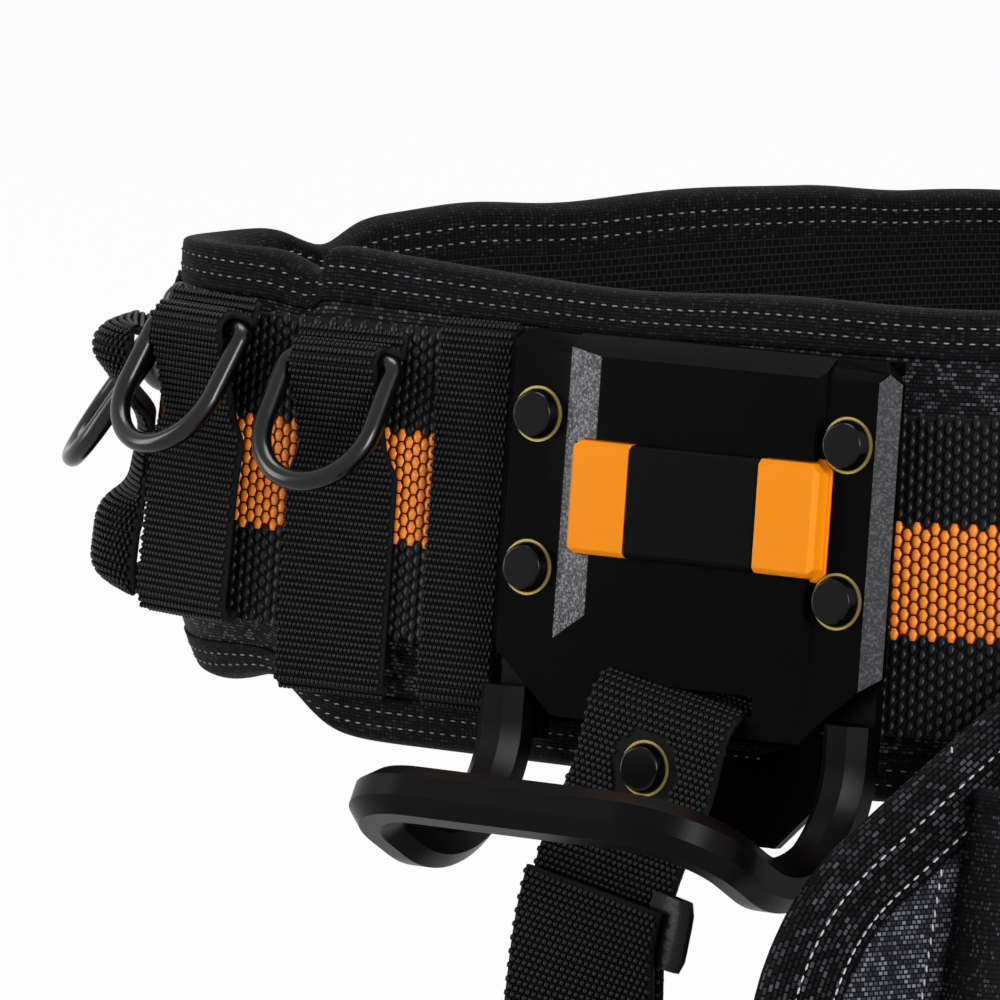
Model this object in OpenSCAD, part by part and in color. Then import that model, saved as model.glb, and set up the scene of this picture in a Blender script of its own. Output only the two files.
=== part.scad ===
// Padded tool belt: a bound foam waist pad with woven waist webbing, ring keepers,
// a clip-on hammer holder and a hung pouch. Millimetres, +Z up, the pad's lower edge at Z = 0.

/* [Waist loop] */
// Radius of the pad's middle line round the back
back_radius = 36; // [32:1:44]
// Radius of the pad's middle line round the front
front_radius = 120; // [110:1:140]
// Outward lean of the pad's lower edge, degrees
flare = 7; // [4:0.5:9]

/* [Pad] */
// Height of the padded belt over its bindings
pad_height = 108; // [104:1:116]
// Thickness of the pad along its flat middle
pad_thick = 14; // [13:0.5:17]
// Thickness of the pad at its sewn edges
pad_edge = 7.2; // [6.4:0.2:9]
// Height of the flat middle of the pad
pad_flat = 72; // [70:1:76]
// Thickness of the woven cover and of the mesh lining
skin = 1.5; // [1:0.1:1.8]
// Thickness of the binding tape
tape = 0.8; // [0.5:0.1:1.2]
// Depth of the binding tape down each face
tape_depth = 10; // [8:0.5:10.5]
// Length of the pad past the middle of the pouch
pad_tail = 37.7; // [34:0.1:44]
// Gap between foam panels at the fold lines, where the back curve ends
fold_gap = 2; // [1:0.5:4]

/* [Waist webbing] */
// Mean margin of the pad over and under the webbing
web_margin = 19; // [18:0.5:22]
// Thickness of the waist webbing
web_thick = 2.2; // [1.6:0.1:2.4]
// Height of the webbing's middle over the pad's middle
web_offset = -4; // [-6:0.5:-2]
// Rise of the webbing towards the back
web_raise = 9.5; // [0:0.5:9.5]
// Distance from the back curve at which the webbing starts to come down
web_slope_at = 50; // [46:1:60]

/* [Ring keepers] */
// Width of each ring keeper's tape
keeper_width = 29.6; // [24:0.2:29.8]
// Thickness of the keeper tape
keeper_thick = 2; // [1.4:0.1:2.2]
// Wire diameter of the D-rings
ring_wire = 4.6; // [4:0.1:5]
// Outside width of the D-rings
ring_width = 34; // [33:0.1:36]
// Outside height of the D-rings
ring_height = 35; // [32:0.5:38]
// Tilt of the rings away from the pad at rest, degrees
ring_tilt = 28; // [22:1:40]
// Drop of the ring bars under the pad's top
ring_drop = 21; // [20:0.5:23]
// Angle of the inner rings from the ends of the back curve
inner_ring_angle = 13; // [11:0.5:13.4]
// Distance of the outer rings from the ends of the back curve
outer_ring_at = 30; // [29:0.5:34]
// How much lower the back ring hangs
back_ring_drop = 6.5; // [0:0.5:7]
// How much higher the inner rings hang
inner_ring_lift = 3; // [0:0.5:3.5]
// How much lower the outer rings hang
outer_ring_drop = 1.5; // [0:0.5:5]
// Turn of the back ring from the middle of the back, degrees
back_ring_turn = 5; // [0:0.5:5.5]
// Width of the plain web keepers
plain_width = 20; // [14:1:22]
// Gap between the outer ring keepers and the plain keepers
plain_gap = 9.5; // [8.5:0.1:12]

/* [Hammer holder] */
// Gap between the plain keepers and the face plate
holder_gap = 1.7; // [0.5:0.1:4]
// Distance of the holder's middle from the front end of the side
holder_setback = 14; // [10:0.5:15]
// Gap between the holder's top and the top binding
holder_room = 1; // [1:0.1:2]
// Distance of the face plate's front from the pad's middle
plate_front = 18; // [17.8:0.1:20]
// Thickness of the face plate
plate_thick = 5; // [4.6:0.1:5]
// Half width of the face plate
plate_half = 51; // [50.5:0.5:54]
// Top of the face plate over the rivet centre
plate_top = 35.5; // [34:0.5:35.5]
// Bottom of the face plate under the rivet centre
plate_bottom = 49; // [48:0.5:52]
// Height where the lower corners begin, under the rivet centre
plate_shoulder = 33; // [31:0.5:34]
// Half width of the face plate's lower edge
plate_foot = 32; // [30:0.5:36]
// Rise of the raised panel
panel_rise = 1.9; // [1.2:0.1:2.2]
// Half distance between rivets along the belt
rivet_u = 40.5; // [40:0.1:41]
// Half distance between rivets in height
rivet_w = 17; // [16:0.5:18]
// Diameter of the rivet heads
rivet_head = 11.6; // [9:0.2:12]
// Diameter of the rivet washers
washer_width = 12.4; // [12.2:0.2:12.8]
// Diameter of the rivet shanks
rivet_shank = 4; // [3:0.1:4.2]
// Half height of the release buttons
button_half = 12.5; // [10:0.5:13]
// Width of the release buttons
button_width = 15.2; // [13:0.2:15.6]
// Travel of the release buttons
button_travel = 2.5; // [1.5:0.1:2.6]
// Width across the hammer loop's eight-sided bar
loop_bar = 11.5; // [9:0.5:11.5]
// Inset of the loop's arms from the face plate's edges
loop_inset = 6; // [4:0.5:7]
// Bend radius from arm to rail
loop_bend = 26; // [22:1:30]
// Rise of the loop's rails to the front, degrees
loop_rise = 25; // [15:1:30]
// Reach of the loop's front bar from the arms
loop_reach = 60; // [58:1:75]
// Bend radius of the loop's front corners
loop_corner = 18; // [12:1:20]
// Width of the retention strap
strap_width = 37; // [30:0.5:38]
// Length of the retention strap under its slot
strap_length = 128; // [110:1:150]
// Swing of the strap in its own plane, degrees
strap_swing = 11; // [0:0.5:11]

/* [Pouch] */
// Distance of the pouch's hanger along the front curve from the end of the side
pouch_along = 110.5; // [108:0.5:113]
// Half width of the pouch at its shoulders
pouch_half = 117; // [110:1:119]
// Half width of the pouch's neck
pouch_neck = 30; // [26:1:34]
// Height of the neck's top over the pad's lower edge
pouch_top = 84; // [80:1:88]
// Height of the shoulders' upper ends over the pad's lower edge
pouch_slope_top = 58; // [50:1:62]
// Drop of the shoulders' lower ends under the pad's lower edge
pouch_shoulder = 8; // [4:1:20]
// Drop of the pouch's bottom under the pad's lower edge
pouch_drop = 160; // [150:1:200]
// Depth of the main pocket
pocket_depth = 52; // [40:1:64]
// Half width of the main pocket's mouth
pocket_half = 78; // [64:1:80]

/* [Buckle] */
// Thickness of the buckle
buckle_thick = 15; // [14:0.5:18]
// Angle of each web bar from the middle of the front
buckle_bar_at = 16; // [15:0.5:20]
// Wall of the buckle's housing
buckle_wall = 2.4; // [1.8:0.1:3]
// Squeeze of each latch arm, degrees
latch_squeeze = 6; // [4:0.5:7]

/* [Clearances] */
// Gap between pieces that lie against each other
seat = 0.2; // [0.1:0.05:0.25]
// Gap at the sewn seam of the pad and webbing, under a ring keeper
seam = 0.1; // [0.05:0.05:0.2]
// Gap round pieces that slide
slide_gap = 0.3; // [0.2:0.05:0.4]
// Radial gap of the rings in their keepers
ring_gap = 0.06; // [0.03:0.01:0.09]

/* [Hidden] */
$fn = 96;
eps = 0.01;
mid_z = pad_height / 2;

// Stations along each side, and the side's length from them
plain_at = outer_ring_at + keeper_width / 2 + plain_gap + plain_width / 2;
holder_at = plain_at + plain_width / 2 + holder_gap + plate_half;
side_length = holder_at + holder_setback;

// Plan of the loop: two circles and their outer tangents
side_angle = atan((front_radius - back_radius) / side_length);
centre_gap = side_length / cos(side_angle);
loop_length = back_radius + centre_gap + front_radius;
back_x = -loop_length / 2 + back_radius;
front_x = back_x + centre_gap;
contact = 270 - side_angle;
near_start = [back_x - back_radius * sin(side_angle), -back_radius * cos(side_angle)];
back_half = 90 - side_angle;
pouch_angle = 360 - contact - pouch_along / front_radius * 180 / PI;
pad_end = pouch_angle - pad_tail / front_radius * 180 / PI;

// Offsets from the pad's middle line
pad_out = pad_thick / 2;
pad_edge_out = pad_edge / 2;
flat_half = pad_flat / 2;
cover_half = pad_height / 2 - tape;
web_width = pad_height - 2 * web_margin;
web_in = pad_out + seat;
web_out = web_in + web_thick;
web_top = web_offset + web_width / 2;
web_low = web_offset - web_width / 2;
function web_rise(along) = web_raise * min(1, max(0, (side_length - along) / (side_length - web_slope_at)));
tape_angle = tape_depth / front_radius * 180 / PI;
tape_room = 0.05;
cut_over = 1;
cap_angle = tape / front_radius * 180 / PI;

// Ring keepers
ring_bar = pad_height / 2 - ring_drop;
ring_r = ring_wire / 2;
ring_half = ring_width / 2 - ring_r;
neck_gap = 0.4;
ring_neck = ring_width - 2 * ring_wire - 2 * neck_gap;
ring_corner = ring_r + 0.15;
ring_leg = ring_height - ring_wire - ring_corner - ring_half;
sleeve_in = ring_r + ring_gap;
sleeve_out = sleeve_in + keeper_thick;
keeper_in = web_out + seat;
keeper_out = keeper_in + keeper_thick;
ring_out = keeper_in + sleeve_out;
keeper_hem = 2;
keeper_tail = web_low - keeper_hem;
tail_out = pad_out + seat;
keeper_sew = 3.5;
keeper_peak = web_top + web_raise + keeper_sew;
keeper_slope = 22;
keeper_lap = 1;
keeper_crown = 2;

// Hammer holder
holder_rise = pad_height / 2 - tape_depth - holder_room - plate_top;
ear_thick = 2.8;
rivet_bore = rivet_shank + 2 * seat;
chamfer = 3.7;
top_corner = 4.5;
panel_left = -32.8;
panel_left_top = -23.6;
panel_right_top = 32.8;
panel_right = 34;
panel_low = -32;
panel_low_top = -26;
head_rise = 2.7;
head_taper = 2;
washer_thick = 0.5;
button_left = -28.4;
button_right = 20.8;
block_left = button_left + button_width + seat;
block_right = button_right - slide_gap;
block_rise = panel_rise + 2.8;
button_rise = panel_rise + 3;
button_lip = 1;
button_nose = 2;
edge_cut = 1.2;
lip_low = -1;
lip_high = 0.4;
bumper = plate_thick + lip_low - button_travel - seat;
cover_thick = 1.5;
cover_margin = 1;
cover_room = 3;
ear_edge = button_right + button_width + cover_margin + slide_gap;
ear_inset = 2;
slot_height = 4.4;
slot_margin = 2;
slot_at = -42;
tongue_out = 5.6;
tongue_in = 3;
tongue_half = 31;
tongue_low = -73.5;
tongue_corner = 10;
hook_thick = 3;
clip_rib = 4;
clip_rib_at = [-29, -2, 6];
pouch_rib_at = [-12, 8];
leaf_low = 24;
ear_low = 10;
clip_edge = 6.5;
clip_half = rivet_u + clip_edge;
loop_half = plate_half - loop_inset;
recess_in = tongue_in - slide_gap;
rail_n = -2.4;
arm_low = -51.5;
arm_high = -43.5;
ear_top = -8;

// Retention strap
strap_thick = 2;
strap_lift = 0.4;
strap_stub = 9;
strap_end = 32;
strap_fold_at = 44;
strap_fold = 2.2;
strap_rivet_at = 16;
tag_width = 6;
tag_height = 17;
tag_thick = 1.6;
tag_drop = 3;
strap_tail = 1;

// Pouch
panel_thick = 4;
lip = 0.8;
leaf_gap = 0.1;
pouch_leaf = web_out + seat + slide_gap + leaf_gap;
pouch_leaf_thick = 2.8;
pouch_n = pouch_leaf + pouch_leaf_thick + lip + leaf_gap;
pouch_bind = 2;
pouch_bind_width = 10;
pouch_flare = 12;
pouch_flare_drop = 27;
pouch_corner = 30;
pouch_tongue_half = 18;
pouch_leaf_half = 27;
pouch_leaf_low = -14;
pouch_rivet_u = 13;
pouch_rivet_w = [-6, 10];
pocket_wall = 3;
pocket_mouth = 8;
pocket_swell = 14;
small_depth = 22;
small_inset = 24;
small_drop = 38;
small_base = 24;
small_flare = 4;
pocket_base = 12;
pocket_corner = 40;
pocket_waist = 60;
pouch_tongue_tip = 8;

// Buckle
bar_r = 2.4;
web_loop_in = bar_r + seat;
web_loop_sew = 0.3;
web_loop_out = web_loop_in + web_thick + 2 * web_loop_sew;
buckle_n = (web_in + web_out) / 2 - (web_loop_in + web_loop_out) / 2;
buckle_side = 5;
buckle_half = web_width / 2 + buckle_side;
cheek_half = 5;
cheek_thick = 4;
cheek_lap = 3;
cheek_end = buckle_bar_at + cheek_lap;
socket_from = 2;
plug_setback = 5.5;
wall_setback = 5;
wall_arc = 1.6;
socket_wall_at = buckle_bar_at - wall_setback;
socket_wall_to = socket_wall_at + wall_arc;
plug_from = -(buckle_bar_at - plug_setback);
plug_gap = 0.3;
guide_gap = 1.2;
plug_to = socket_from - plug_gap;
guide_to = socket_wall_at - guide_gap;
guide_half = 14;
latch_root_x = -6.5;
latch_w = 29;
latch_r = 4.5;
latch_gap = 0.06;
latch_thick = 6;
latch_length = 24;
latch_head_from = 13;
latch_head_to = 21;
latch_proud = 1.5;
latch_pad = buckle_half + latch_proud - latch_w;

// Frames: x along the belt, y up the leaning section, z outwards from the pad's middle line
module face_at(point, normal) {
    translate([point.x, point.y, mid_z]) rotate([0, 0, normal + 90]) rotate([90 - flare, 0, 0]) children();
}
module on_back(heading) {
    normal = contact - heading;
    face_at([back_x + back_radius * cos(normal), back_radius * sin(normal)], normal) children();
}
module on_side(along) {
    face_at(near_start + along * [cos(side_angle), -sin(side_angle)], contact) children();
}
module on_front(angle) {
    face_at([front_x + front_radius * cos(angle), front_radius * sin(angle)], angle) children();
}
module far_side() {
    mirror([0, 1, 0]) children();
}
module at_holder() {
    on_side(holder_at) translate([0, holder_rise, plate_front]) children();
}

// Bands: an (outward, up) outline carried round the loop, all set out from the right side's front end
module right_frame() {
    translate([front_x, 0, mid_z]) rotate([0, 0, contact - 360]) children();
}
module left_frame() {
    right_frame() translate([front_radius - back_radius, -side_length, 0]) rotate([0, 0, -2 * back_half])
        translate([back_radius, 0, 0]) children();
}
module back_band() {
    left_frame() translate([-back_radius, 0, 0])
        rotate_extrude(angle = 2 * back_half) translate([back_radius, 0]) rotate(flare) children();
}
module side_band(from, to) {
    right_frame() translate([front_radius, to - side_length, 0]) rotate([90, 0, 0])
        linear_extrude(to - from) rotate(flare) children();
}
module left_side_band(from, to) {
    left_frame() translate([0, -from, 0]) rotate([90, 0, 0])
        linear_extrude(to - from) rotate(flare) children();
}
module curve_band(to) {
    right_frame() rotate_extrude(angle = to - contact + 360)
        translate([front_radius, 0]) rotate(flare) children();
}
module left_curve_band(to) {
    left_frame() translate([-front_radius, -side_length, 0]) mirror([0, 1, 0])
        rotate_extrude(angle = to - contact + 360) translate([front_radius, 0]) rotate(flare) children();
}
module front_band(from, to) {
    translate([front_x, 0, mid_z]) rotate([0, 0, from])
        rotate_extrude(angle = to - from) translate([front_radius, 0]) rotate(flare) children();
}
module across(width) {
    translate([width / 2, 0, 0]) rotate([0, -90, 0]) linear_extrude(width) children();
}
module whole_run(to) {
    back_band() children();
    side_band(seam, side_length) children();
    curve_band(to) children();
    left_side_band(0, side_length) children();
    left_curve_band(to) children();
}

// Half thickness of the pad at a height over its middle
function pad_face_at(w) =
    abs(w) <= flat_half ? pad_out
    : pad_out - (pad_out - pad_edge_out) * (abs(w) - flat_half) / (cover_half - flat_half);
function face_line(inset) = [
    [pad_edge_out - inset, -cover_half], [pad_out - inset, -flat_half],
    [pad_out - inset, flat_half], [pad_edge_out - inset, cover_half]
];
function back_to_front(points) = [for (i = [len(points) - 1 : -1 : 0]) points[i]];
function flipped(points) = [for (p = back_to_front(points)) [-p.x, p.y]];

module foam_outline() {
    pad_outline(skin);
}
module cover_outline() {
    polygon(concat(face_line(0), back_to_front(face_line(skin))));
}
module lining_outline() {
    mirror([1, 0]) cover_outline();
}
module tape_outline() {
    low = pad_height / 2 - tape_depth;
    n = pad_face_at(low);
    polygon([
        [n, low], [n + tape, low], [pad_edge_out + tape, cover_half], [pad_edge_out, pad_height / 2],
        [-pad_edge_out, pad_height / 2], [-pad_edge_out - tape, cover_half], [-n - tape, low], [-n, low],
        [-pad_edge_out, cover_half], [pad_edge_out, cover_half]
    ]);
}
module pad_outline(inset) {
    polygon(concat(face_line(inset), flipped(face_line(inset))));
}

// Seats pressed into the pad by the two clips
module clip_recesses() {
    low = -pad_height;
    top = holder_rise + plate_top + slide_gap;
    on_side(holder_at) translate([-tongue_half - slide_gap, low, recess_in])
        cube([2 * (tongue_half + slide_gap), top - low, pad_thick]);
    on_front(-pouch_angle) translate([-pouch_tongue_half - slide_gap, low, recess_in])
        cube([2 * (pouch_tongue_half + slide_gap), top - low, pad_thick]);
}

module foam_back() {
    color("dimgray") back_band() foam_outline();
}
module foam_side() {
    side_band(fold_gap, side_length) foam_outline();
    curve_band(-pad_end) foam_outline();
}
module foam_right() {
    color("dimgray") difference() {
        foam_side();
        clip_recesses();
    }
}
module foam_left() {
    color("dimgray") far_side() foam_side();
}
module outer_cover() {
    color("#141416") difference() {
        whole_run(-pad_end - tape_angle) cover_outline();
        clip_recesses();
    }
}
module mesh_lining() {
    color("#101012") whole_run(-pad_end - tape_angle) lining_outline();
}
module top_binding() {
    color("#1a1a1c") whole_run(-pad_end - tape_angle) tape_outline();
}
module bottom_binding() {
    color("#1a1a1c") difference() {
        whole_run(-pad_end - tape_angle) mirror([0, 1]) tape_outline();
        clip_recesses();
    }
}
module end_binding() {
    difference() {
        front_band(-pad_end - tape_angle, -pad_end + cap_angle) pad_outline(0);
        front_band(-pad_end - 2 * tape_angle, -pad_end) pad_outline(skin - tape_room);
    }
}
module end_bindings() {
    color("#1a1a1c") {
        end_binding();
        far_side() end_binding();
    }
}

module web_outline() {
    translate([web_in, web_low]) square([web_thick, web_width]);
}
module web_end() {
    wide = web_width + 2 * web_loop_sew;
    on_front(-buckle_bar_at) translate([0, web_low - web_loop_sew, buckle_n]) rotate([-90, 0, 0])
        difference() {
            cylinder(r = web_loop_out, h = wide);
            translate([0, 0, -1]) cylinder(r = web_loop_in, h = wide + 2);
        }
}
module web_side(from) {
    rotate([90, 0, 90]) rotate([-flare, 0, 0]) translate([0, 0, web_in]) linear_extrude(web_thick) polygon([
        [from, web_low + web_raise], [web_slope_at, web_low + web_raise], [side_length, web_low],
        [side_length, web_top], [web_slope_at, web_top + web_raise], [from, web_top + web_raise]
    ]);
}
module waist_webbing() {
    color("#18181a") {
        back_band() translate([0, web_raise]) web_outline();
        right_frame() translate([front_radius, -side_length, 0]) web_side(seam);
        left_frame() mirror([0, 1, 0]) web_side(0);
        curve_band(-buckle_bar_at) web_outline();
        left_curve_band(-buckle_bar_at) web_outline();
        web_end();
        far_side() web_end();
    }
}

// A keeper tape: tail on the pad, run over the webbing, narrow sleeve round the ring bar, tail above
module keeper_tape(drop, tail) {
    bar = ring_bar - drop;
    slope_low = bar - keeper_slope;
    top_low = web_top + web_raise + seat;
    color("#161618") difference() {
        union() {
            across(keeper_width) polygon([
                [tail_out, tail - keeper_thick], [keeper_out, tail - keeper_thick], [keeper_out, slope_low],
                [keeper_in, slope_low], [keeper_in, tail], [tail_out, tail]
            ]);
            across(ring_neck) polygon([
                [keeper_in, slope_low - keeper_lap], [keeper_out, slope_low - keeper_lap], [keeper_out, slope_low],
                [ring_out + sleeve_out, bar - keeper_lap], [ring_out + sleeve_in, bar - keeper_lap],
                [keeper_in, slope_low + keeper_lap]
            ]);
            translate([-ring_neck / 2, bar, ring_out]) rotate([0, 90, 0])
                cylinder(r = sleeve_out, h = ring_neck);
            across(ring_neck) polygon([
                [tail_out, top_low], [keeper_in, top_low], [ring_out - sleeve_in, bar + keeper_crown],
                [ring_out, bar + sleeve_out], [tail_out + keeper_thick, keeper_peak], [tail_out, keeper_peak]
            ]);
        }
        translate([-keeper_width, bar, ring_out]) rotate([0, 90, 0])
            cylinder(r = sleeve_in, h = 2 * keeper_width);
    }
}
module ring_shape() {
    rotate([0, 90, 0]) cylinder(r = ring_r, h = 2 * (ring_half - ring_corner), center = true);
    for (side = [0, 1]) mirror([side, 0, 0]) {
        translate([ring_half - ring_corner, -ring_corner, 0])
            rotate_extrude(angle = 90) translate([ring_corner, 0]) circle(ring_r);
        translate([ring_half, -ring_corner, 0]) rotate([90, 0, 0]) cylinder(r = ring_r, h = ring_leg);
    }
    translate([0, -ring_corner - ring_leg, 0]) rotate([0, 0, 180])
        rotate_extrude(angle = 180) translate([ring_half, 0]) circle(ring_r);
}
module hung_ring(drop) {
    color("#0c0c0d") translate([0, ring_bar - drop, ring_out]) rotate([-ring_tilt, 0, 0]) ring_shape();
}
module at_back_ring() {
    on_back(back_half - back_ring_turn) children();
}
module at_inner_ring() {
    on_back(inner_ring_angle) children();
}
module at_outer_ring() {
    on_side(outer_ring_at) children();
}
module ring_keeper_back() { at_back_ring() keeper_tape(back_ring_drop, keeper_tail + web_raise); }
module ring_keeper_right_inner() { at_inner_ring() keeper_tape(-inner_ring_lift, keeper_tail + web_raise); }
module ring_keeper_right_outer() { at_outer_ring() keeper_tape(outer_ring_drop, keeper_tail); }
module ring_keeper_left_inner() { far_side() ring_keeper_right_inner(); }
module ring_keeper_left_outer() { far_side() ring_keeper_right_outer(); }
module d_ring_back() { at_back_ring() hung_ring(back_ring_drop); }
module d_ring_right_inner() { at_inner_ring() hung_ring(-inner_ring_lift); }
module d_ring_right_outer() { at_outer_ring() hung_ring(outer_ring_drop); }
module d_ring_left_inner() { far_side() d_ring_right_inner(); }
module d_ring_left_outer() { far_side() d_ring_right_outer(); }

// A plain keeper: a flat web loop over the webbing, sewn to the pad above and below it
module plain_keeper() {
    top = web_top + web_raise + seat;
    color("#161618") across(plain_width) polygon([
        [tail_out, keeper_tail - keeper_thick], [keeper_out, keeper_tail - keeper_thick],
        [keeper_out, top + keeper_thick], [tail_out, top + keeper_thick],
        [tail_out, top], [keeper_in, top], [keeper_in, keeper_tail], [tail_out, keeper_tail]
    ]);
}
module web_keeper_right() { on_side(plain_at) plain_keeper(); }
module web_keeper_left() { far_side() on_side(plain_at) plain_keeper(); }

// Holder shapes: x along the belt, y up, z out from the face plate's front
module plate_outline() {
    polygon([
        [-plate_foot, -plate_bottom], [plate_foot, -plate_bottom], [plate_half, -plate_shoulder],
        [plate_half, plate_top - top_corner], [plate_half - top_corner, plate_top],
        [-plate_half + top_corner, plate_top], [-plate_half, plate_top - top_corner],
        [-plate_half, -plate_shoulder]
    ]);
}
module up_prism(low, high) {
    translate([0, high, 0]) rotate([90, 0, 0]) linear_extrude(high - low) children();
}
module plate_body() {
    difference() {
        translate([0, 0, -plate_thick]) linear_extrude(plate_thick) plate_outline();
        for (side = [0, 1]) mirror([side, 0, 0]) up_prism(-plate_bottom - 1, plate_top + 1)
            polygon([[plate_half - chamfer, eps], [plate_half + eps, eps], [plate_half + eps, -chamfer]]);
        rotate([0, 90, 0]) linear_extrude(3 * plate_half, center = true)
            polygon([[-eps, plate_top - top_corner], [-eps, plate_top + eps], [chamfer, plate_top + eps]]);
    }
}
module raised_panel() {
    intersection() {
        up_prism(panel_low - 1, plate_top) polygon([
            [panel_left, 0], [panel_left_top, panel_rise], [panel_right_top, panel_rise], [panel_right, 0],
            [panel_right, -chamfer], [panel_left, -chamfer]
        ]);
        rotate([0, 90, 0]) linear_extrude(3 * plate_half, center = true) polygon([
            [0, panel_low], [-panel_rise, panel_low_top], [-panel_rise, plate_top - top_corner],
            [chamfer, plate_top], [chamfer, panel_low]
        ]);
    }
}
module at_rivets() {
    for (u = [-rivet_u, rivet_u], w = [-rivet_w, rivet_w]) translate([u, w, 0]) children();
}
module rivet_bores() {
    at_rivets() translate([0, 0, -plate_front]) cylinder(d = rivet_bore, h = 2 * plate_front, $fn = 48);
}
module button_outline(grow) {
    x = button_width + grow;
    h = button_half + grow;
    polygon([
        [button_nose - grow, -h], [x, -h], [x, h], [button_nose - grow, h],
        [-grow, h - button_nose], [-grow, -h + button_nose]
    ]);
}
module at_button(right) {
    if (right) translate([button_right + button_width, 0, 0]) mirror([1, 0, 0]) children();
    else translate([button_left, 0, 0]) children();
}
module strap_slot() {
    translate([-strap_width / 2 - slot_margin, slot_at - slot_height / 2, -2 * plate_thick])
        cube([strap_width + 2 * slot_margin, slot_height, 4 * plate_thick]);
}
module holder_face_plate() {
    color("#0e0e0f") at_holder() difference() {
        union() {
            plate_body();
            raised_panel();
        }
        rivet_bores();
        for (right = [false, true]) at_button(right) {
            translate([0, 0, -2 * plate_thick]) linear_extrude(4 * plate_thick) button_outline(slide_gap);
            translate([0, 0, -2 * plate_thick]) linear_extrude(2 * plate_thick + lip_high + slide_gap)
                button_outline(slide_gap + button_lip);
        }
        strap_slot();
    }
}
module holder_back_clip() {
    front = -plate_thick - seat;
    back = tongue_in - plate_front;
    color("#121213") at_holder() difference() {
        union() {
            translate([-clip_half, leaf_low, front - ear_thick])
                cube([2 * clip_half, plate_top - leaf_low, ear_thick]);
            for (side = [0, 1]) mirror([side, 0, 0]) translate([ear_edge, ear_low, front - ear_thick])
                cube([clip_half - ear_edge, leaf_low - ear_low, ear_thick]);
            translate([-clip_half, plate_top - hook_thick, pad_out + slide_gap - plate_front])
                cube([2 * clip_half, hook_thick, front - pad_out - slide_gap + plate_front]);
            translate([-tongue_half, plate_top - hook_thick, back])
                cube([2 * tongue_half, hook_thick, front - back]);
            translate([0, 0, back]) linear_extrude(tongue_out - tongue_in) polygon([
                [-tongue_half, plate_top], [tongue_half, plate_top],
                [tongue_half, tongue_low + tongue_corner], [tongue_half - tongue_corner, tongue_low],
                [-tongue_half + tongue_corner, tongue_low], [-tongue_half, tongue_low + tongue_corner]
            ]);
            for (u = clip_rib_at) {
                low = web_top + web_rise(holder_at + u) + seat - holder_rise;
                translate([u, low, back]) cube([clip_rib, plate_top - hook_thick - low, front - back]);
            }
        }
        rivet_bores();
    }
}
module holder_spring_cover() {
    wide = button_right + button_width - button_left + 2 * cover_margin;
    high = 2 * (rivet_w - cover_room);
    color("#1c1c1e") at_holder() translate([button_left - cover_margin, -high / 2, -plate_thick - cover_thick])
        cube([wide, high, cover_thick]);
}
module holder_centre_block() {
    color("#0a0a0b") at_holder() translate([block_left, 0, 0]) rotate([90, 0, 90])
        linear_extrude(block_right - block_left) polygon([
            [-button_half, panel_rise], [button_half, panel_rise], [button_half, block_rise - edge_cut],
            [button_half - edge_cut, block_rise], [-button_half + edge_cut, block_rise],
            [-button_half, block_rise - edge_cut]
        ]);
}
module release_button() {
    difference() {
        union() {
            translate([0, 0, lip_low]) linear_extrude(button_rise - lip_low) button_outline(0);
            translate([0, 0, lip_low]) linear_extrude(lip_high - lip_low) button_outline(button_lip);
        }
        rotate([90, 0, 90]) linear_extrude(6 * button_width, center = true)
            for (side = [0, 1]) mirror([side, 0]) polygon([
                [button_half - edge_cut, button_rise + eps], [button_half + eps, button_rise + eps],
                [button_half + eps, button_rise - edge_cut]
            ]);
        rotate([90, 0, 0]) linear_extrude(6 * button_half, center = true)
            polygon([[-eps, button_rise + eps], [edge_cut, button_rise + eps], [-eps, button_rise - edge_cut]]);
    }
}
module release_button_left() { color("#f7941d") at_holder() at_button(false) release_button(); }
module release_button_right() { color("#f7941d") at_holder() at_button(true) release_button(); }
module button_bumpers() {
    color("#202022") at_holder() for (right = [false, true]) at_button(right)
        translate([button_width / 2, 0, -plate_thick]) cylinder(d = button_width / 2, h = bumper, $fn = 48);
}
module holder_washers() {
    color("#8a7a3c") at_holder() at_rivets() difference() {
        cylinder(d = washer_width, h = washer_thick);
        translate([0, 0, -1]) cylinder(d = rivet_bore, h = washer_thick + 2, $fn = 48);
    }
}
module rivet(length) {
    translate([0, 0, washer_thick]) cylinder(d1 = rivet_head, d2 = rivet_head - head_taper, h = head_rise);
    translate([0, 0, -length]) cylinder(d = rivet_shank, h = length + washer_thick + eps, $fn = 48);
}
module holder_rivets() {
    color("#0a0a0a") at_holder() at_rivets() rivet(plate_thick + seat + ear_thick);
}

// Hammer loop: flattened ears behind the face plate, arms, bends, rails and front bar
module bar_outline() {
    rotate(22.5) circle(d = loop_bar / cos(22.5), $fn = 8);
}
module loop_half_bar() {
    rail = loop_reach - loop_bend * (1 + sin(loop_rise)) - loop_corner * cos(loop_rise);
    translate([loop_half, 0, rail_n]) {
        translate([0, arm_high, 0]) rotate([90, 0, 0]) linear_extrude(arm_high - arm_low) bar_outline();
        translate([0, arm_low, loop_bend]) rotate([0, 90, 0]) rotate([180, 0, 0])
            rotate_extrude(angle = 90 + loop_rise) translate([loop_bend, 0]) bar_outline();
        translate([0, arm_low, loop_bend]) rotate([-loop_rise, 0, 0]) translate([0, -loop_bend, 0])
            loop_front(rail / cos(loop_rise));
    }
}
module loop_front(rail) {
    linear_extrude(rail) bar_outline();
    translate([-loop_corner, 0, rail]) rotate([90, 0, 0])
        rotate_extrude(angle = 90) translate([loop_corner, 0]) bar_outline();
    translate([-loop_half, 0, rail + loop_corner]) rotate([0, 90, 0])
        linear_extrude(loop_half - loop_corner) bar_outline();
}
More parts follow.
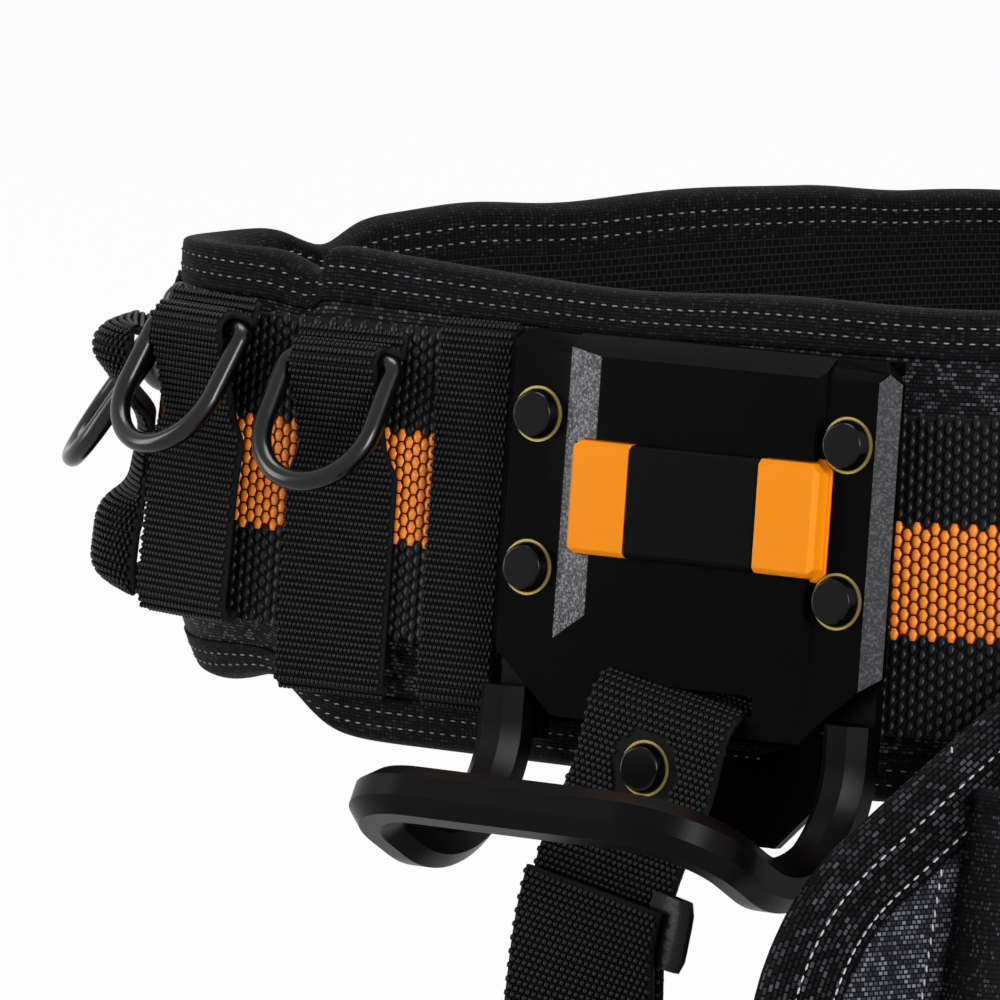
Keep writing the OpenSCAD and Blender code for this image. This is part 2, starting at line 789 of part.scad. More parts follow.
module loop_ear() {
    front = -plate_thick - seat;
    difference() {
        translate([ear_edge, arm_high - loop_bar, front - ear_thick])
            cube([plate_half - ear_inset - ear_edge, ear_top - arm_high + loop_bar, ear_thick]);
        rivet_bores();
    }
}
module hammer_loop() {
    color("#0d0d0e") at_holder() for (side = [0, 1]) mirror([side, 0, 0]) {
        loop_half_bar();
        loop_ear();
    }
}

// Retention strap: through the slot, hanging at a swing, its end doubled up in front
module at_strap() {
    at_holder() translate([0, slot_at, strap_lift]) rotate([0, 0, -strap_swing]) children();
}
module strap_layer(low, high, out) {
    translate([-strap_width / 2, low, out]) cube([strap_width, high - low, strap_thick]);
}
module retention_strap() {
    lift = strap_thick + strap_fold;
    fold_r = strap_thick + strap_fold / 2;
    color("#19191b") {
        at_strap() difference() {
            union() {
                strap_layer(-strap_length, 0, 0);
                strap_layer(-strap_end, 0, strap_thick);
            }
            translate([0, -strap_rivet_at, -strap_thick])
                cylinder(d = rivet_bore, h = 4 * strap_thick, $fn = 48);
        }
        at_strap() strap_layer(-strap_length, -strap_fold_at, lift);
        at_strap() translate([-strap_width / 2, -strap_length, fold_r]) rotate([0, 90, 0]) rotate([0, 0, 180])
            difference() {
                cylinder(r = fold_r, h = strap_width);
                translate([0, 0, -1]) cylinder(r = strap_fold / 2, h = strap_width + 2);
                translate([-2 * fold_r, -4 * fold_r, -1]) cube([4 * fold_r, 4 * fold_r, strap_width + 2]);
            }
        at_holder() translate([-strap_width / 2, slot_at - strap_thick / 2, -plate_thick - seat - strap_thick])
            cube([strap_width, strap_thick, plate_thick + seat + 2 * strap_thick + strap_lift]);
        at_holder() translate([-strap_width / 2, slot_at, -plate_thick - seat - strap_thick])
            cube([strap_width, strap_stub, strap_thick]);
    }
}
module at_strap_rivet() {
    at_strap() translate([0, -strap_rivet_at, 2 * strap_thick]) children();
}
module strap_washer() {
    color("#8a7a3c") at_strap_rivet() difference() {
        cylinder(d = washer_width, h = washer_thick);
        translate([0, 0, -1]) cylinder(d = rivet_bore, h = washer_thick + 2, $fn = 48);
    }
}
module strap_rivet() {
    color("#0a0a0a") at_strap_rivet() {
        rivet(2 * strap_thick + seat);
        translate([0, 0, -2 * strap_thick - strap_tail])
            cylinder(d = rivet_shank * 2, h = strap_tail, $fn = 48);
    }
}
module strap_tag() {
    color("#101011") at_strap()
        translate([strap_width / 2, -strap_fold_at - tag_drop - tag_height, strap_thick + strap_fold + seat])
        cube([tag_width, tag_height, tag_thick]);
}

// Pouch: x along the belt, y up from the pad's middle, z outwards
function unit(v) = v / norm(v);
function left_of(v) = [-v.y, v.x];
function inset(points, d) = [
    for (i = [0 : len(points) - 1])
        let (
            count = len(points),
            before = left_of(unit(points[i] - points[(i + count - 1) % count])),
            after = left_of(unit(points[(i + 1) % count] - points[i]))
        )
        points[i] + d * (before + after) / (1 + before * after)
];
function mirrored(half) = concat([for (p = half) p], [for (p = back_to_front(half)) [-p.x, p.y]]);
pouch_points = mirrored([
    [pouch_half + pouch_flare - pouch_corner, -pouch_drop - mid_z],
    [pouch_half + pouch_flare, pouch_corner - pouch_drop - mid_z],
    [pouch_half + pouch_flare, -pouch_shoulder - pouch_flare_drop - mid_z],
    [pouch_half, -pouch_shoulder - mid_z],
    [pouch_neck, pouch_slope_top - mid_z],
    [pouch_neck, pouch_top - mid_z]
]);
pocket_points = mirrored([
    [pocket_half - pouch_bind_width, pocket_base - pouch_drop - mid_z],
    [pocket_half + pocket_swell, pocket_corner - pouch_drop - mid_z],
    [pocket_half + pocket_swell, -pocket_waist - mid_z],
    [pocket_half, pocket_mouth - mid_z]
]);
small_points = mirrored([
    [pocket_half - small_inset, small_base - pouch_drop - mid_z],
    [pocket_half - small_inset + small_flare, -small_drop - mid_z]
]);
module at_pouch(out) {
    on_front(-pouch_angle) translate([0, 0, out]) children();
}
module at_pouch_rivets() {
    for (u = [-pouch_rivet_u, pouch_rivet_u], w = pouch_rivet_w) translate([u, w, 0]) children();
}
module pouch_bores() {
    at_pouch_rivets() translate([0, 0, -pad_thick])
        cylinder(d = rivet_bore, h = 2 * pad_thick, $fn = 48);
}
module pouch_back_panel() {
    color("#3b3c42") at_pouch(pouch_n) difference() {
        linear_extrude(panel_thick) polygon(pouch_points);
        pouch_bores();
    }
}
module pouch_binding() {
    color("#161618") at_pouch(pouch_n) difference() {
        translate([0, 0, -lip]) linear_extrude(panel_thick + 2 * lip) polygon(inset(pouch_points, -pouch_bind));
        linear_extrude(panel_thick) polygon(pouch_points);
        translate([0, 0, -1]) linear_extrude(panel_thick + 2) polygon(inset(pouch_points, pouch_bind_width));
    }
}
module open_pocket(points, depth, wall, mouth) {
    difference() {
        linear_extrude(depth) polygon(points);
        translate([0, 0, -1]) linear_extrude(depth - wall + 1) polygon(inset(points, wall));
        translate([0, 0, -1]) linear_extrude(depth - wall + 1) intersection() {
            translate([0, 2 * wall]) polygon(inset(points, wall));
            translate([-2 * pouch_half, mouth - 4 * wall]) square([4 * pouch_half, 8 * wall]);
        }
    }
}
module pouch_pocket() {
    color("#141416") at_pouch(pouch_n + panel_thick + lip + seat)
        open_pocket(pocket_points, pocket_depth, pocket_wall, pocket_mouth - mid_z);
}
module pouch_front_pocket() {
    color("#17171a") at_pouch(pouch_n + panel_thick + lip + 2 * seat + pocket_depth)
        open_pocket(small_points, small_depth, pocket_wall, -small_drop - mid_z);
}
module pouch_clip() {
    top = holder_rise + plate_top;
    color("#121213") at_pouch(0) difference() {
        union() {
            translate([-pouch_leaf_half, pouch_leaf_low, pouch_leaf])
                cube([2 * pouch_leaf_half, top - pouch_leaf_low, pouch_leaf_thick]);
            translate([-pouch_tongue_half, top - hook_thick, tongue_in])
                cube([2 * pouch_tongue_half, hook_thick, pouch_leaf - tongue_in + eps]);
            translate([0, 0, tongue_in]) linear_extrude(tongue_out - tongue_in) polygon([
                [-pouch_tongue_half, top], [-pouch_tongue_half, web_low],
                [-pouch_tongue_half / 2, web_low - pouch_tongue_tip],
                [pouch_tongue_half / 2, web_low - pouch_tongue_tip],
                [pouch_tongue_half, web_low], [pouch_tongue_half, top]
            ]);
            for (u = pouch_rib_at) translate([u, web_top + seat, tongue_in])
                cube([clip_rib, top - web_top - seat, pouch_leaf - tongue_in + eps]);
        }
        pouch_bores();
    }
}
module pouch_rivets() {
    length = panel_thick + lip + leaf_gap + pouch_leaf_thick;
    color("#0a0a0a") at_pouch(pouch_n + panel_thick - washer_thick + seat) at_pouch_rivets() {
        translate([0, 0, washer_thick]) cylinder(d1 = rivet_head, d2 = rivet_head - head_taper, h = head_rise);
        translate([0, 0, -length + washer_thick]) cylinder(d = rivet_shank, h = length + eps, $fn = 48);
    }
}

// Buckle: a housing, a plug and two squeeze arms that follow the front curve
module buckle_rect(half_n, low, high) {
    translate([buckle_n - half_n, low]) square([2 * half_n, high - low]);
}
module buckle_section(cut) {
    buckle_rect(buckle_thick / 2 - cut, web_offset - buckle_half + cut, web_offset + buckle_half - cut);
}
module bar_end(from, to, at) {
    middle = buckle_half - cheek_thick / 2;
    for (side = [-1, 1]) front_band(from, to) buckle_rect(cheek_half,
        web_offset + side * middle - cheek_thick / 2, web_offset + side * middle + cheek_thick / 2);
    on_front(at) translate([0, web_offset - middle, buckle_n]) rotate([-90, 0, 0])
        cylinder(r = bar_r, h = 2 * middle);
}
module at_latch(side) {
    on_front(0) translate([latch_root_x, web_offset, buckle_n]) mirror([0, side < 0 ? 1 : 0, 0])
        translate([0, latch_w, 0]) children();
}
module latch_arm() {
    translate([0, 0, -latch_thick / 2]) {
        cylinder(r = latch_r, h = latch_thick);
        translate([0, -latch_thick / 2, 0]) cube([latch_length, latch_thick, latch_thick]);
        translate([latch_head_from, 0, 0])
            cube([latch_head_to - latch_head_from, latch_pad, latch_thick]);
    }
}
module latch_room() {
    swing = latch_length * sin(latch_squeeze) + slide_gap;
    deep = latch_thick / 2 + slide_gap;
    translate([0, 0, -deep]) {
        cylinder(r = latch_r + latch_gap, h = 2 * deep);
        translate([0, -latch_thick / 2 - swing, 0])
            cube([latch_length, latch_thick + swing + slide_gap, 2 * deep]);
    }
}
module latch_window() {
    deep = latch_thick / 2 + 2 * slide_gap;
    translate([latch_head_from - 4 * slide_gap, 0, -deep - 1])
        cube([latch_head_to - latch_head_from + 8 * slide_gap, 2 * latch_w, 2 * deep + 1]);
}
module buckle_socket() {
    color("#131314") difference() {
        union() {
            front_band(socket_from, socket_wall_to) buckle_section(0);
            bar_end(socket_wall_at, cheek_end, buckle_bar_at);
        }
        front_band(socket_from - cut_over, socket_wall_at) buckle_section(buckle_wall);
        for (side = [-1, 1]) at_latch(side) latch_window();
    }
}
module buckle_plug() {
    color("#131314") difference() {
        union() {
            front_band(plug_from, plug_to) buckle_section(0);
            front_band(plug_from, guide_to) buckle_rect(buckle_thick / 2 - buckle_wall - slide_gap,
                web_offset - guide_half, web_offset + guide_half);
            bar_end(-cheek_end, plug_from + cut_over, -buckle_bar_at);
        }
        for (side = [-1, 1]) at_latch(side) latch_room();
    }
}
module latch_arm_upper() { color("#1a1a1b") at_latch(1) latch_arm(); }
module latch_arm_lower() { color("#1a1a1b") at_latch(-1) latch_arm(); }

foam_back();
foam_right();
foam_left();
outer_cover();
mesh_lining();
top_binding();
bottom_binding();
end_bindings();
waist_webbing();
ring_keeper_back();
ring_keeper_right_inner();
ring_keeper_right_outer();
ring_keeper_left_inner();
ring_keeper_left_outer();
d_ring_back();
d_ring_right_inner();
d_ring_right_outer();
d_ring_left_inner();
d_ring_left_outer();
web_keeper_right();
web_keeper_left();
holder_face_plate();
holder_back_clip();
holder_spring_cover();
holder_centre_block();
release_button_left();
release_button_right();
button_bumpers();
holder_washers();
holder_rivets();
hammer_loop();
retention_strap();
strap_washer();
strap_rivet();
strap_tag();
pouch_back_panel();
pouch_binding();
pouch_pocket();
pouch_front_pocket();
pouch_clip();
pouch_rivets();
buckle_socket();
buckle_plug();
latch_arm_upper();
latch_arm_lower();
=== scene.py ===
"""Padded tool belt: cloth, webbing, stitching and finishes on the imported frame.

Lengths are in millimetres until a mesh is made.
"""

import math

import bmesh
import bpy
import numpy as np
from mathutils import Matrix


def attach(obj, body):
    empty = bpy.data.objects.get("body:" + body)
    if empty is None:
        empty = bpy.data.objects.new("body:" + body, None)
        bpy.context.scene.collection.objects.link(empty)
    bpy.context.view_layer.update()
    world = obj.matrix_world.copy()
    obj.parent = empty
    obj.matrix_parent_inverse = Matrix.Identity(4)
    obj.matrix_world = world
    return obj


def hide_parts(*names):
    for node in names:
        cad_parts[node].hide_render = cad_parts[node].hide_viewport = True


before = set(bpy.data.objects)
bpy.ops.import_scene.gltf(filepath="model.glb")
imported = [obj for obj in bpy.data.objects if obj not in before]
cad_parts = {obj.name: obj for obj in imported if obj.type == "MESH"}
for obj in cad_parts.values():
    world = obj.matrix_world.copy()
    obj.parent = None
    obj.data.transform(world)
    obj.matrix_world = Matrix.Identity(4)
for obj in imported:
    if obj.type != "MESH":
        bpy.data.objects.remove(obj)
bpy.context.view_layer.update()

MM = 0.001

# Plan of the belt: two arcs and the straight sides between them
BACK_RADIUS = 36.0
FRONT_RADIUS = 120.0
SIDE_LENGTH = 141.0
SIDE_ANGLE = math.atan2(FRONT_RADIUS - BACK_RADIUS, SIDE_LENGTH)
CENTRE_GAP = SIDE_LENGTH / math.cos(SIDE_ANGLE)
BACK_X = -(BACK_RADIUS + CENTRE_GAP + FRONT_RADIUS) / 2 + BACK_RADIUS
FRONT_X = BACK_X + CENTRE_GAP
BACK_ARC = (math.pi / 2 - SIDE_ANGLE) * BACK_RADIUS
CONTACT = 1.5 * math.pi - SIDE_ANGLE
FLARE = math.radians(7.0)
MID_Z = 54.0
PAD_HALF = 54.0
POUCH_T = BACK_ARC + SIDE_LENGTH + 110.5
PAD_RUN = POUCH_T + 37.7

# Layers, measured outwards from the pad's middle line, and heights from the pad's middle
WEB_LOW, WEB_TOP, WEB_MID_OUT, WEB_THICK = -39.0, 31.0, 8.3, 1.7
WEB_MID = (WEB_LOW + WEB_TOP) / 2
WEB_RAISE, WEB_SLOPE_AT = 9.5, 50.0
STRIPE_LOW, STRIPE_TOP = -17.6, 7.9
KEEPER_MID_OUT, KEEPER_THICK, KEEPER_WIDTH, KEEPER_NECK = 10.6, 1.7, 29.6, 23.6
RING_BAR, RING_OUT, SLEEVE_MID = 33.0, 13.96, 3.36
TAPE_DEPTH, TAPE_THICK = 10.8, 0.9


# Places on the belt

def smooth(x):
    """A soft step from 0 to 1."""
    x = np.clip(x, 0, 1)
    return x * x * (3 - 2 * x)


def plan(t):
    """Plan points and outward headings of the pad's middle line, t along it from the middle of the back."""
    t = np.asarray(t, float)
    a = np.abs(t)
    sign = np.where(t < 0, -1.0, 1.0)
    side = np.clip(a - BACK_ARC, 0, SIDE_LENGTH)
    heading = math.pi + np.minimum(a, BACK_ARC) / BACK_RADIUS
    heading = heading + np.maximum(a - BACK_ARC - SIDE_LENGTH, 0) / FRONT_RADIUS
    back = a <= BACK_ARC + SIDE_LENGTH
    radius = np.where(back, BACK_RADIUS, FRONT_RADIUS)
    middle = np.where(back, BACK_X, FRONT_X)
    x = middle + radius * np.cos(heading) + np.where(back, side * math.cos(SIDE_ANGLE), 0)
    y = radius * np.sin(heading) - np.where(back, side * math.sin(SIDE_ANGLE), 0)
    return x, y * sign, heading * sign


def frame_at(t):
    """Origin and the along, up and outward axes of the belt at t, as arrays."""
    x, y, heading = plan(t)
    zero = np.zeros_like(x)
    flat = np.stack([np.cos(heading), np.sin(heading), zero], -1)
    along = np.stack([-np.sin(heading), np.cos(heading), zero], -1)
    z = np.array([0.0, 0.0, 1.0])
    out = flat * math.cos(FLARE) + z * math.sin(FLARE)
    up = z * math.cos(FLARE) - flat * math.sin(FLARE)
    return np.stack([x, y, zero + MID_Z], -1), along, up, out


def lay(t, w, n):
    """Points at t along the belt, w up its leaning section and n outwards."""
    t, w, n = np.broadcast_arrays(np.asarray(t, float), np.asarray(w, float), np.asarray(n, float))
    origin, _, up, out = frame_at(t)
    return origin + up * w[..., None] + out * n[..., None]


def flat_frame(t):
    """Origin and axes of one flat place on the belt."""
    origin, along, up, out = frame_at(np.array([float(t)]))
    return origin[0], along[0], up[0], out[0]


def place(local, at):
    """Points given as (along, up, out) in a flat frame."""
    origin, along, up, out = at
    local = np.asarray(local, float)
    return origin + local[..., :1] * along + local[..., 1:2] * up + local[..., 2:3] * out


def web_rise(t):
    """How much higher the webbing runs over the back and the rear of the sides."""
    side = np.abs(t) - BACK_ARC
    return WEB_RAISE * np.clip((SIDE_LENGTH - side) / (SIDE_LENGTH - WEB_SLOPE_AT), 0, 1)


# How the pad lies: its lower edge tucks in round the back and is notched on the near side
TUCK_FROM, TUCK_RUN, TUCK_RISE, TUCK_IN = -14.0, 44.0, 8.0, 11.0
TUCK_RISE_POWER, TUCK_IN_POWER = 1.2, 1.5
NOTCH_AT, NOTCH_RUN, NOTCH_RISE, NOTCH_POWER = 45.0, 15.0, 7.0, 3
# Its top edge creases on the near side, and sags, rises and drops along the far side
CREASE_AT, CREASE_STEP, CREASE_BULGE, CREASE_DIP = 52.0, 3.0, 3.4, 3.2
BULGE_RUN, DIP_RUN = 34.0, 6.0
SAG_AT, SAG_RUN, SAG = -44.0, 9.0, 4.8
HUMP_AT, HUMP_RUN, HUMP = -85.0, 18.0, 2.1
FAR_FROM, FAR_RUN, FAR_DROP = 172.0, 30.0, 2.3
# At the back its inner face drops and its outer face swells
TIP_FROM, TIP_RUN, TIP_DROP, TIP_OUT = 8.0, 34.0, 3.0, 5.5
# A slow and a quick sway along the top edge: height, run and start
SLOW_SWAY, QUICK_SWAY = (0.8, 29.0, 0.7), (0.5, 12.5, 0.0)
HIGH_FROM, PAD_DEPTH = 36.0, 14.0
FOLD_OUT, SWAY_OUT = 0.8, 0.5


def bell(x):
    """A soft bump of height 1 round 0."""
    return np.exp(-x ** 2)


def settle(t, w, n):
    """The pad's own (up, out) as it lies, from t along it, w up and n outwards."""
    t, w, n = np.broadcast_arrays(np.asarray(t, float), np.asarray(w, float), np.asarray(n, float))
    a = np.abs(t)
    loose = 1 - smooth((a - BACK_ARC - TUCK_FROM) / TUCK_RUN)
    low = np.clip(-w / PAD_HALF, 0, 1)
    high = np.clip((w - HIGH_FROM) / (PAD_HALF - HIGH_FROM), 0, 1)
    crease = CREASE_BULGE * smooth((a - CREASE_AT) / CREASE_STEP) * bell((a - CREASE_AT) / BULGE_RUN)
    crease = crease - CREASE_DIP * bell((a - CREASE_AT + CREASE_STEP) / DIP_RUN)
    far = HUMP * bell((t - HUMP_AT) / HUMP_RUN) - SAG * bell((t - SAG_AT) / SAG_RUN)
    far = far - FAR_DROP * smooth((-t - FAR_FROM) / FAR_RUN)
    fold = crease * (t > 0) + far
    sway = sum(rise * np.sin(t / run + start) for rise, run, start in (SLOW_SWAY, QUICK_SWAY))
    drop = TIP_DROP * (1 - smooth((a - TIP_FROM) / TIP_RUN)) * np.clip(0.5 - n / PAD_DEPTH, 0, 1)
    swell = TIP_OUT * (1 - smooth(a / BACK_ARC)) * np.clip(0.5 + n / PAD_DEPTH, 0, 1)
    notch = NOTCH_RISE * bell((t - NOTCH_AT) / NOTCH_RUN)
    tuck_up = TUCK_RISE * loose * low ** TUCK_RISE_POWER
    up = w + tuck_up + notch * low ** NOTCH_POWER + high * (fold + sway - drop)
    out = n - TUCK_IN * loose * low ** TUCK_IN_POWER + high * (FOLD_OUT * fold + SWAY_OUT * sway + swell)
    return up, out


# Colours and materials

BLACK, WHITE = (0, 0, 0, 1), (1, 1, 1, 1)
GRAIN_DETAIL, GRAIN_RELIEF = 2.0, 0.2
GLINT_POWER, GLINT_BUMP, GLINT_RELIEF = 2.5, 0.6, 0.1
THREAD_GAP, GAP_BLUR = 0.22, 0.9


def srgb(code):
    """Linear colour of a hex code."""
    parts = [int(code[i:i + 2], 16) / 255 for i in (1, 3, 5)]
    return [c / 12.92 if c <= 0.04045 else ((c + 0.055) / 1.055) ** 2.4 for c in parts] + [1.0]


def add(tree, kind, inputs=None, **settings):
    """One node, with its settings, its constants and its links."""
    node = tree.nodes.new(kind)
    for name, value in settings.items():
        setattr(node, name, value)
    for name, value in (inputs or {}).items():
        if isinstance(value, bpy.types.NodeSocket):
            tree.links.new(value, node.inputs[name])
        else:
            node.inputs[name].default_value = value
    return node


def material(name, code, rough, spec, metal=0.0):
    """A new material, its tree and its surface node."""
    made = bpy.data.materials.new(name)
    made.use_nodes = True
    made.diffuse_color = srgb(code)
    shader = made.node_tree.nodes["Principled BSDF"]
    values = {"Base Color": srgb(code), "Roughness": rough, "Metallic": metal, "Specular IOR Level": spec}
    for socket, value in values.items():
        shader.inputs[socket].default_value = value
    return made, made.node_tree, shader


def mixed(tree, share, low, high):
    """A colour between two codes or sockets."""
    mix = add(tree, "ShaderNodeMix", {0: share}, data_type="RGBA")
    for name, value in (("A", low), ("B", high)):
        socket = next(s for s in mix.inputs if s.name == name and s.type == "RGBA")
        if isinstance(value, str):
            socket.default_value = srgb(value)
        else:
            tree.links.new(value, socket)
    return next(s for s in mix.outputs if s.type == "RGBA")


def moulded(name, low, high, rough, spec, grain=0.4, bump=0.05, metal=0.0):
    """A moulded, painted or spun surface: a fine grain, in millimetres, in its colour and its relief."""
    made, tree, shader = material(name, low, rough, spec, metal)
    where = add(tree, "ShaderNodeTexCoord").outputs["Object"]
    grains = {"Vector": where, "Scale": 1 / (grain * MM), "Detail": GRAIN_DETAIL}
    noise = add(tree, "ShaderNodeTexNoise", grains).outputs["Fac"]
    tree.links.new(mixed(tree, noise, low, high), shader.inputs["Base Color"])
    relief = add(tree, "ShaderNodeBump", {"Height": noise, "Strength": bump, "Distance": GRAIN_RELIEF * MM})
    tree.links.new(relief.outputs["Normal"], shader.inputs["Normal"])
    return made


def eroded_with_painted_glints(name, low, high, rough, spec, grain):
    """A spark-eroded mould face: each grain, in millimetres, has its own tilt and its own grey, a painted
    glint.
    """
    made, tree, shader = material(name, low, rough, spec)
    where = add(tree, "ShaderNodeTexCoord").outputs["Object"]
    cells = add(tree, "ShaderNodeTexVoronoi", {"Vector": where, "Scale": 1 / (grain * MM)})
    luck = add(tree, "ShaderNodeTexWhiteNoise", {"Vector": cells.outputs["Position"]}).outputs["Value"]
    share = add(tree, "ShaderNodeMath", {0: luck, 1: GLINT_POWER}, operation="POWER").outputs["Value"]
    tree.links.new(mixed(tree, share, low, high), shader.inputs["Base Color"])
    glints = {"Height": luck, "Strength": GLINT_BUMP, "Distance": GLINT_RELIEF * MM}
    relief = add(tree, "ShaderNodeBump", glints)
    tree.links.new(relief.outputs["Normal"], shader.inputs["Normal"])
    return made


def woven(name, gap, low, high, thread, rough, spec, sparse=3.0, bump=0.7, depth=0.35, offset=0.5,
          hollow=False):
    """Cloth on the piece's own UV map: rows of (length, width) threads; a few painted paler, as glints on
    most cloths.
    """
    made, tree, shader = material(name, low, rough, spec)
    uv = add(tree, "ShaderNodeUVMap").outputs["UV"]
    rows = add(tree, "ShaderNodeTexBrick", {
        "Vector": uv, "Color1": BLACK, "Color2": WHITE, "Mortar": BLACK, "Scale": 1.0,
        "Mortar Size": THREAD_GAP * min(thread), "Mortar Smooth": GAP_BLUR,
        "Brick Width": thread[0], "Row Height": thread[1],
    }, offset=offset)
    luck = add(tree, "ShaderNodeMath", {0: rows.outputs["Color"], 1: sparse}, operation="POWER")
    lit = mixed(tree, luck.outputs["Value"], low, high)
    between = rows.outputs["Fac"]
    tree.links.new(mixed(tree, between, lit, gap), shader.inputs["Base Color"])
    relief = add(tree, "ShaderNodeBump", {"Height": between, "Strength": bump, "Distance": depth * MM},
                 invert=not hollow)
    tree.links.new(relief.outputs["Normal"], shader.inputs["Normal"])
    return made


# Coarse nylon cover: dark, with the crowns of single threads painted paler as glints
COVER = woven("nylon_cover", "#030304", "#0b0b0d", "#5a5a60", (1.3, 0.9), 0.6, 0.08, sparse=3.5)
# Spacer mesh: open cells painted dark as the shade in them, in a net painted slightly paler as light on its
# ridges
LINING = woven("spacer_mesh", "#252528", "#050506", "#0c0c0e", (2.0, 1.8), 0.8, 0.05,
               bump=1.0, depth=0.8, hollow=True)
# Folded binding tape: fine threads, a few painted paler as glints; longer, with brighter painted glints, on
# the pouch
TAPE = woven("ribbed_tape", "#040405", "#0b0b0d", "#2a2a2e", (1.1, 0.8), 0.65, 0.05, sparse=4.0, offset=0.0)
POUCH_TAPE = woven("pouch_tape", "#030304", "#0d0d0f", "#47474c", (2.0, 1.2), 0.65, 0.05, bump=1.0, depth=0.6)
# Ground of the webbing and keepers, seen only between the floats
WEB = moulded("web_ground", "#060607", "#0c0c0e", 0.7, 0.1, grain=0.6, bump=0.3)
STRIPE = moulded("stripe_ground", "#2c1000", "#4a1d02", 0.7, 0.1, grain=0.6, bump=0.3)
# Polyester floats: satin, with a narrow highlight on the crown of each
BLACK_YARN = moulded("black_yarn", "#060608", "#0d0d10", 0.36, 0.17, grain=0.7, bump=0.25)
KEEPER_YARN = moulded("keeper_yarn", "#08080a", "#141417", 0.42, 0.18, grain=0.7, bump=0.25)
ORANGE_YARN = moulded("orange_yarn", "#e06c0e", "#ff9824", 0.36, 0.4, grain=0.8, bump=0.2)
# Sewing thread: matt, grey on the pad and paler on the pouch
THREAD = moulded("sewing_thread", "#2e2e32", "#a4a4a8", 0.6, 0.15, grain=6.0, bump=0.1)
PALE_THREAD = moulded("pale_thread", "#8e8e92", "#d6d6da", 0.6, 0.15, grain=6.0, bump=0.1)
# Black steel: powder-coated on the loop, smoother on the rings
STEEL = moulded("coated_steel", "#030303", "#050505", 0.32, 0.065, grain=0.4, bump=0.04)
RING = moulded("ring_steel", "#040404", "#070707", 0.22, 0.32, grain=0.4, bump=0.04)
# Moulded nylon: near black, orange on the buttons; on two eroded bevels of the plate, painted glints, dimmer
# in front
PANEL = moulded("moulded_nylon", "#030303", "#050505", 0.28, 0.025, grain=0.5, bump=0.03)
BLOCK = moulded("centre_nylon", "#040405", "#060607", 0.34, 0.04, grain=0.5, bump=0.03)
BRIGHT_PAINTED_GLINTS = eroded_with_painted_glints("spark_eroded_bright_glints", "#131315", "#86868c", 0.5, 0.35, 0.45)
DIM_PAINTED_GLINTS = eroded_with_painted_glints("spark_eroded_front_dim_glints", "#08080a", "#48484e", 0.5, 0.25, 0.45)
BUTTON = moulded("orange_nylon", "#ea8709", "#f08d0d", 0.42, 0.1, grain=0.5, bump=0.03)
RUBBER = moulded("rubber", "#161617", "#1c1c1e", 0.8, 0.2)
# Washers: dull brass with an olive cast
BRASS = moulded("dull_brass", "#7d6f34", "#b7a45a", 0.4, 0.5, grain=0.5, bump=0.1, metal=0.6)
RIVET = moulded("blackened_rivet", "#030303", "#050505", 0.2, 0.14, grain=0.4, bump=0.03)
TAG = moulded("satin_tag", "#060607", "#0b0b0d", 0.35, 0.16, grain=0.8, bump=0.3)
# Heather cloth: charcoal with a cold cast, threads of mixed greys
HEATHER = woven("heather_cloth", "#070709", "#202128", "#7c7e8a", (1.15, 1.05), 0.75, 0.08, sparse=2.2)
# Pouch nylon: near black, with sparse threads painted pale as glints
POUCH = woven("pouch_nylon", "#020203", "#070709", "#4e4e54", (1.2, 1.0), 0.6, 0.08, sparse=6.0)


# Meshes

def mesh_object(name, points, faces, finish, uv=None, sharp=None):
    """A piece from points, faces, a finish and, if given, a UV for each point."""
    mesh = bpy.data.meshes.new(name)
    mesh.from_pydata((np.asarray(points) * MM).tolist(), [], [list(map(int, f)) for f in faces])
    if uv is not None:
        layer = mesh.uv_layers.new(name="UVMap")
        loops = np.empty(len(mesh.loops), dtype=np.int32)
        mesh.loops.foreach_get("vertex_index", loops)
        layer.data.foreach_set("uv", np.asarray(uv, dtype=np.float32)[loops].ravel())
    build = bmesh.new()
    build.from_mesh(mesh)
    bmesh.ops.recalc_face_normals(build, faces=build.faces)
    build.to_mesh(mesh)
    build.free()
    mesh.shade_smooth()
    if sharp:
        mesh.set_sharp_from_angle(angle=math.radians(sharp))
    mesh.materials.append(finish)
    made = bpy.data.objects.new(name, mesh)
    bpy.context.scene.collection.objects.link(made)
    return made


def fitted(piece, slot=None, *nodes, body="belt"):
    """The piece rides on its body and stands for the frame's nodes; its slot is not used."""
    if nodes:
        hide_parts(*nodes)
    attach(piece, body)
    return piece


def runs(points):
    """Distance along a path at each of its points."""
    return np.concatenate([[0], np.cumsum(np.linalg.norm(np.diff(points, axis=0), axis=1))])


def sweep(name, rings, finish, uv=None, caps=True, sharp=None):
    """A closed skin through rings of points (stations, points round, 3)."""
    rings = np.asarray(rings, float)
    count, size = rings.shape[:2]
    index = np.arange(count * size).reshape(count, size)
    after = np.roll(index, -1, axis=1)
    faces = np.stack([index[:-1], index[1:], after[1:], after[:-1]], -1).reshape(-1, 4).tolist()
    if caps:
        faces.append(index[0].tolist())
        faces.append(index[-1][::-1].tolist())
    flat_uv = None if uv is None else np.asarray(uv).reshape(-1, 2)
    return mesh_object(name, rings.reshape(-1, 3), faces, finish, flat_uv, sharp)


def tape_section(width, thick, columns):
    """(across, out) points of a flat tape with rounded edges."""
    r = thick / 2
    flat = np.linspace(-width / 2 + r, width / 2 - r, columns)
    edge = np.linspace(-math.pi / 2, math.pi / 2, 7)[1:-1]
    right = np.stack([width / 2 - r + r * np.cos(edge), r * np.sin(edge)], -1)
    left = np.stack([-width / 2 + r - r * np.cos(edge), -r * np.sin(edge)], -1)
    low = np.stack([flat, np.full(columns, -r)], -1)
    high = np.stack([flat[::-1], np.full(columns, r)], -1)
    return np.concatenate([low, right, high, left])


